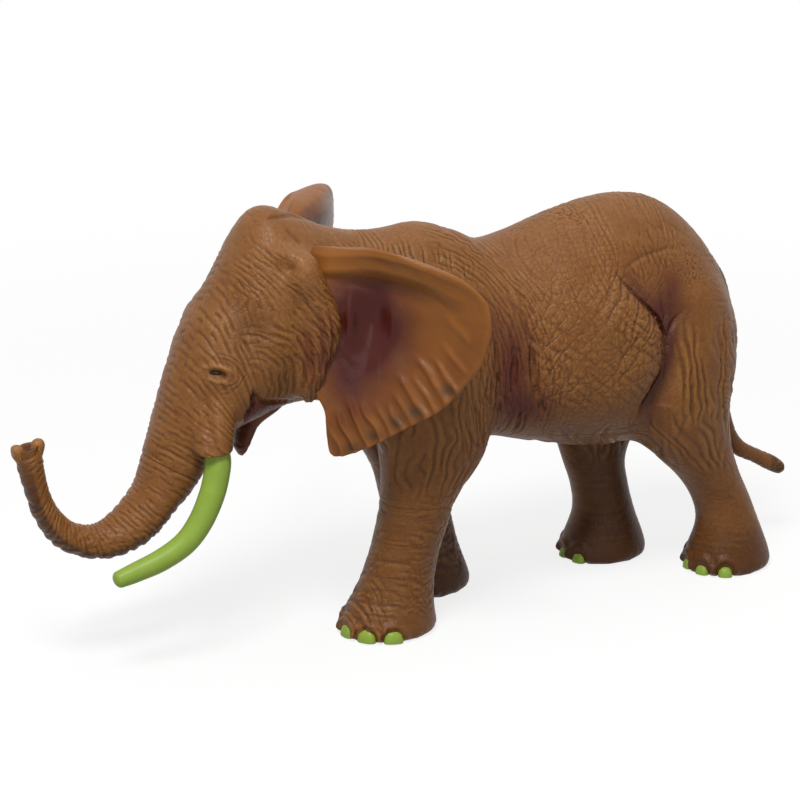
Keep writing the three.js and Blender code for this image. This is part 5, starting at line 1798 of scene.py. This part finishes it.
def mixed(tree, factor, first, second):
    """The colour between two colours or sockets."""
    node = tree.nodes.new("ShaderNodeMix")
    node.data_type = "RGBA"
    node.clamp_factor = True
    for value, socket in ((factor, node.inputs[0]), (first, node.inputs[6]), (second, node.inputs[7])):
        if isinstance(value, bpy.types.NodeSocket):
            tree.links.new(value, socket)
        else:
            socket.default_value = value
    return node.outputs[2]


def scaled(tree, socket, factor, offset=0.0):
    """A socket times a factor plus an offset, kept from 0 to 1."""
    node = add(tree, "ShaderNodeMath", {"operation": "MULTIPLY_ADD", "use_clamp": True})
    tree.links.new(socket, node.inputs[0])
    node.inputs[1].default_value, node.inputs[2].default_value = factor, offset
    return node.outputs[0]


# %% [markdown]
# The brown finish is built in layers: mottled PVC first, then sprays and washes as the factory
# paints them, together with painted shade and painted highlights, one over the other, each with the
# share that was worked out on the points. The mottling gives the eye a cast material and not a
# flat colour, the crackle and the pores break up the gloss, and the smoother sprayed hollows glint.
# All patterns are sized in real millimetres.

# %% Painted PVC hide
MOTTLE_MM, SWIRL_MM, GRAIN_MM, CRACKLE_MM, PORE_MM = 6.0, 2.2, 1.1, 1.15, 0.55
SWIRL_BEND_MM, CRACK_DEPTH_MM, PORE_DEPTH_MM = 1.6, 0.10, 0.12
PALE_BROWN_AND_SHEEN, GOLDEN_BRUSH_AND_HIGHLIGHT = "#8c6f5c", "#a06e38"
SATIN_SPECULAR = 0.18


def pattern(tree, place, size_mm, detail, roughness=0.5):
    """Soft noise whose patches are about the given millimetres across."""
    settings = {"Scale": 1 / (size_mm * MM), "Detail": detail, "Roughness": roughness}
    return add(tree, "ShaderNodeTexNoise", settings, {"Vector": place})


def crackle_cells(tree, place):
    """Distance to the edge of bent cells, whose edges are the cracks of old paint."""
    swirl = pattern(tree, place, SWIRL_MM, 2.0)
    links = {0: swirl.outputs["Color"], 2: place}
    bent = add(tree, "ShaderNodeVectorMath", {"operation": "MULTIPLY_ADD"}, links)
    bent.inputs[1].default_value = (SWIRL_BEND_MM * MM,) * 3
    settings = {"feature": "DISTANCE_TO_EDGE", "Scale": 1 / (CRACKLE_MM * MM)}
    cells = add(tree, "ShaderNodeTexVoronoi", settings, {"Vector": bent.outputs["Vector"]})
    return cells.outputs["Distance"]


def painted_pvc(name, base, wash, brush_and_highlight, spray_and_shade, deep, roughness=0.42, specks=0.18, crackle=0.0,
                shine=0.0):
    """Satin PVC under washes: soft mottling, dark wash in the creases, dry brush and painted
    highlight on the ridges, spray in the hollows, dark paint and painted shade, and fine pores,
    cracks and creases in the bump. shine is how much smoother the sprayed hollows are."""
    material, tree, shader, place = start_material(name)
    mottle = pattern(tree, place, MOTTLE_MM, 4.0, 0.6)
    grain = pattern(tree, place, GRAIN_MM, 3.0)
    pores = pattern(tree, place, PORE_MM, 3.0, 0.65)
    cells = crackle_cells(tree, place)
    colour = mixed(tree, scaled(tree, mottle.outputs["Fac"], 1.6, -0.45), linear(base), linear(brush_and_highlight))
    layer = {key: add(tree, "ShaderNodeAttribute", {"attribute_name": key}).outputs["Fac"]
             for key in ("crease", "ridge", "spray_and_shade", "dark_paint_and_shade", "tan_and_highlight", "pale")}
    # The tan and ridge layers carry dry brush and painted highlight, the dark layer dark paint and
    # painted shade, the spray layer also painted shade under the jaw, and the pale layer the bare back of
    # the ears and a painted sheen in their hollows
    coats = (("tan_and_highlight", 0.85, brush_and_highlight), ("pale", 0.7, PALE_BROWN_AND_SHEEN), ("dark_paint_and_shade", 0.9, deep),
             ("ridge", 0.42, GOLDEN_BRUSH_AND_HIGHLIGHT), ("spray_and_shade", 0.9, spray_and_shade), ("crease", 0.43, wash))
    for key, share, paint in coats:
        colour = mixed(tree, scaled(tree, layer[key], share), colour, linear(paint))
    cracks = scaled(tree, scaled(tree, cells, -10.0, 1.0), 0.5 * crackle)
    colour = mixed(tree, cracks, colour, linear(wash))
    flecked = scaled(tree, grain.outputs["Fac"], 4 * specks, -1.9 * specks)
    tree.links.new(mixed(tree, flecked, colour, linear(wash)), shader.inputs["Base Color"])
    rough = scaled(tree, pores.outputs["Fac"], 0.22, roughness - 0.11)
    smoother = add(tree, "ShaderNodeMath", {"operation": "MULTIPLY_ADD"}, {0: layer["spray_and_shade"], 2: rough})
    smoother.inputs[1].default_value = -shine
    tree.links.new(smoother.outputs[0], shader.inputs["Roughness"])
    shader.inputs["Specular IOR Level"].default_value = SATIN_SPECULAR
    cracked = add(tree, "ShaderNodeBump", {"Strength": crackle, "Distance": CRACK_DEPTH_MM * MM},
                  {"Height": scaled(tree, cells, 7.0)})
    bump = add(tree, "ShaderNodeBump", {"Strength": 0.35, "Distance": PORE_DEPTH_MM * MM},
               {"Height": pores.outputs["Fac"], "Normal": cracked.outputs["Normal"]})
    tree.links.new(bump.outputs["Normal"], shader.inputs["Normal"])
    return material


def finish(pieces, material):
    """Gives the material to each piece."""
    for obj in pieces:
        obj.data.materials.append(material)
    print(material.name, "on", len(pieces), "pieces")


# The five colours of each: cast PVC, wash in the creases, dry brush and painted highlight, spray,
# dark paint and painted shade
finish(hide_pieces, painted_pvc("painted_pvc_hide", "#73461f", "#351c0c", "#8c5e34", "#4c1618",
                                "#402310", crackle=0.4))
finish(leg_pieces, painted_pvc("painted_pvc_leg", "#754720", "#33190a", "#8a5c30", "#48201a",
                               "#42230e", crackle=0.4))
finish(ear_pieces, painted_pvc("painted_pvc_ear", "#74411d", "#3a1a10", "#8a5624", "#400a10",
                               "#483622", roughness=0.36, specks=0.03, shine=0.14))

# %% [markdown]
# The tusks and toenails are a flat leaf green. Two greens that differ by a hair, in clouds of a
# few millimetres, give the eye thin paint over a lighter ground, and the satin keeps one soft
# highlight along each tusk.

# %% Green satin paint
CLOUD_MM = 4
green, tree, shader, place = start_material("green_satin_paint")
cloud = pattern(tree, place, CLOUD_MM, 3.0).outputs["Fac"]
tree.links.new(mixed(tree, cloud, linear("#7c9634"), linear("#8fa842")), shader.inputs["Base Color"])
shader.inputs["Roughness"].default_value = 0.42
shader.inputs["Specular IOR Level"].default_value = 0.25
finish(green_pieces, green)

# %% [markdown]
# The eyes are dots of dark enamel. A real toy's eye is nearly black and smooth, but at this size a
# strong gloss would turn the slit grey, so its highlight is kept low.

# %% Dark enamel of the eyes
GLINT_MM = 0.8
enamel, tree, shader, place = start_material("dark_eye_enamel")
glint = pattern(tree, place, GLINT_MM, 2.0).outputs["Fac"]
tree.links.new(mixed(tree, glint, linear("#17110a"), linear("#2e2415")), shader.inputs["Base Color"])
shader.inputs["Roughness"].default_value = 0.4
shader.inputs["Specular IOR Level"].default_value = 0.15
finish(eye_pieces, enamel)

# %% [markdown]
# The stage is a wide sheet of white paper under one softbox from the upper left front, which is
# how small toys are photographed for a shop. The lamps and the world are set so that a colour
# renders about as it is written. What is seen directly, or in a mirror or through glass, is white:
# Light Path tells those rays apart. To all other rays the paper is grey, so that the undersides of
# the figure stay dark.

# %% What the eye sees of the stage
scene = bpy.context.scene
scene.view_settings.view_transform = "Standard"
WHITE = (1.0, 1.0, 1.0, 1.0)
WORLD_LIGHT = 0.30


def seen_directly(tree):
    """1 for rays from the camera and from mirrors and glass, 0 for the others."""
    path = tree.nodes.new("ShaderNodeLightPath").outputs
    seen = path["Is Camera Ray"]
    for ray in ("Is Glossy Ray", "Is Transmission Ray"):
        either = add(tree, "ShaderNodeMath", {"operation": "MAXIMUM"}, {0: seen, 1: path[ray]})
        seen = either.outputs[0]
    return seen


world = bpy.data.worlds.new("white_studio")
scene.world = world
world.use_nodes = True
tree = world.node_tree
light = tree.nodes["Background"]
light.inputs["Color"].default_value = WHITE
light.inputs["Strength"].default_value = WORLD_LIGHT
backdrop = add(tree, "ShaderNodeBackground", {"Color": WHITE, "Strength": 1.0})
blend = add(tree, "ShaderNodeMixShader", {},
            {0: seen_directly(tree), 1: light.outputs[0], 2: backdrop.outputs[0]})
tree.links.new(blend.outputs[0], tree.nodes["World Output"].inputs["Surface"])
print("world light", WORLD_LIGHT)

# %% [markdown]
# A softbox is a square lamp, and the larger it is the softer its shadows are. The key stands high
# at the left front and draws the wrinkles, a weaker one opens the back from above, and a faint
# one near the camera keeps the legs from going black.

# %% The softboxes
def softbox(name, place, target, size, watts):
    """A square lamp that faces the target."""
    data = bpy.data.lights.new(name, "AREA")
    data.size, data.energy = size, watts
    lamp = bpy.data.objects.new(name, data)
    away = np.array(place) - np.array(target)
    lamp.location = place
    pitch = math.acos(away[2] / np.linalg.norm(away))
    lamp.rotation_euler = (pitch, 0, math.atan2(away[1], away[0]) + math.pi / 2)
    scene.collection.objects.link(lamp)
    print(name, watts, "watts")


MIDDLE = (0.0, 0.0, 0.05)
softbox("key_softbox", (-0.32, -0.38, 0.8), MIDDLE, 0.28, 6.8)
softbox("top_softbox", (0.25, 0.1, 0.9), MIDDLE, 0.5, 1.2)
softbox("fill_softbox", (-0.4, -0.9, 0.15), MIDDLE, 0.5, 1.1)

# %% [markdown]
# The paper under the figure is lit as it is within a hand's width, so the feet keep their shadows.
# Farther out it fades into white that shines by itself, as an overexposed backdrop does.

# %% The white paper
PAPER_GLOW, PAPER_LIT_WITHIN, PAPER_WHITE_BEYOND = 0.8, 0.16, 0.42
PAPER_HALF_SIZE = 1.5

corners = [(PAPER_HALF_SIZE * x, PAPER_HALF_SIZE * y, 0)
           for x, y in ((-1, -1), (1, -1), (1, 1), (-1, 1))]
floor_mesh = bpy.data.meshes.new("floor")
floor_mesh.from_pydata(corners, [], [(0, 1, 2, 3)])
floor = bpy.data.objects.new("floor", floor_mesh)
scene.collection.objects.link(floor)
paper, tree, shader, place = start_material("matt_white_paper")
direct = seen_directly(tree)
tree.links.new(mixed(tree, direct, linear("#a0a09e"), linear("#fdfdfc")), shader.inputs["Base Color"])
shader.inputs["Roughness"].default_value = 0.9
shader.inputs["Specular IOR Level"].default_value = 0.1
distance = add(tree, "ShaderNodeVectorMath", {"operation": "LENGTH"}, {0: place})
fade = {"interpolation_type": "SMOOTHSTEP", "To Min": PAPER_GLOW,
        "From Min": PAPER_LIT_WITHIN, "From Max": PAPER_WHITE_BEYOND}
far = add(tree, "ShaderNodeMapRange", fade, {"Value": distance.outputs["Value"]})
share = add(tree, "ShaderNodeMath", {"operation": "MULTIPLY"}, {0: far.outputs["Result"], 1: direct})
glow = add(tree, "ShaderNodeEmission", {"Color": WHITE, "Strength": 1.0})
blend = add(tree, "ShaderNodeMixShader", {},
            {0: share.outputs[0], 1: shader.outputs[0], 2: glow.outputs[0]})
tree.links.new(blend.outputs[0], tree.nodes["Material Output"].inputs["Surface"])
floor_mesh.materials.append(paper)
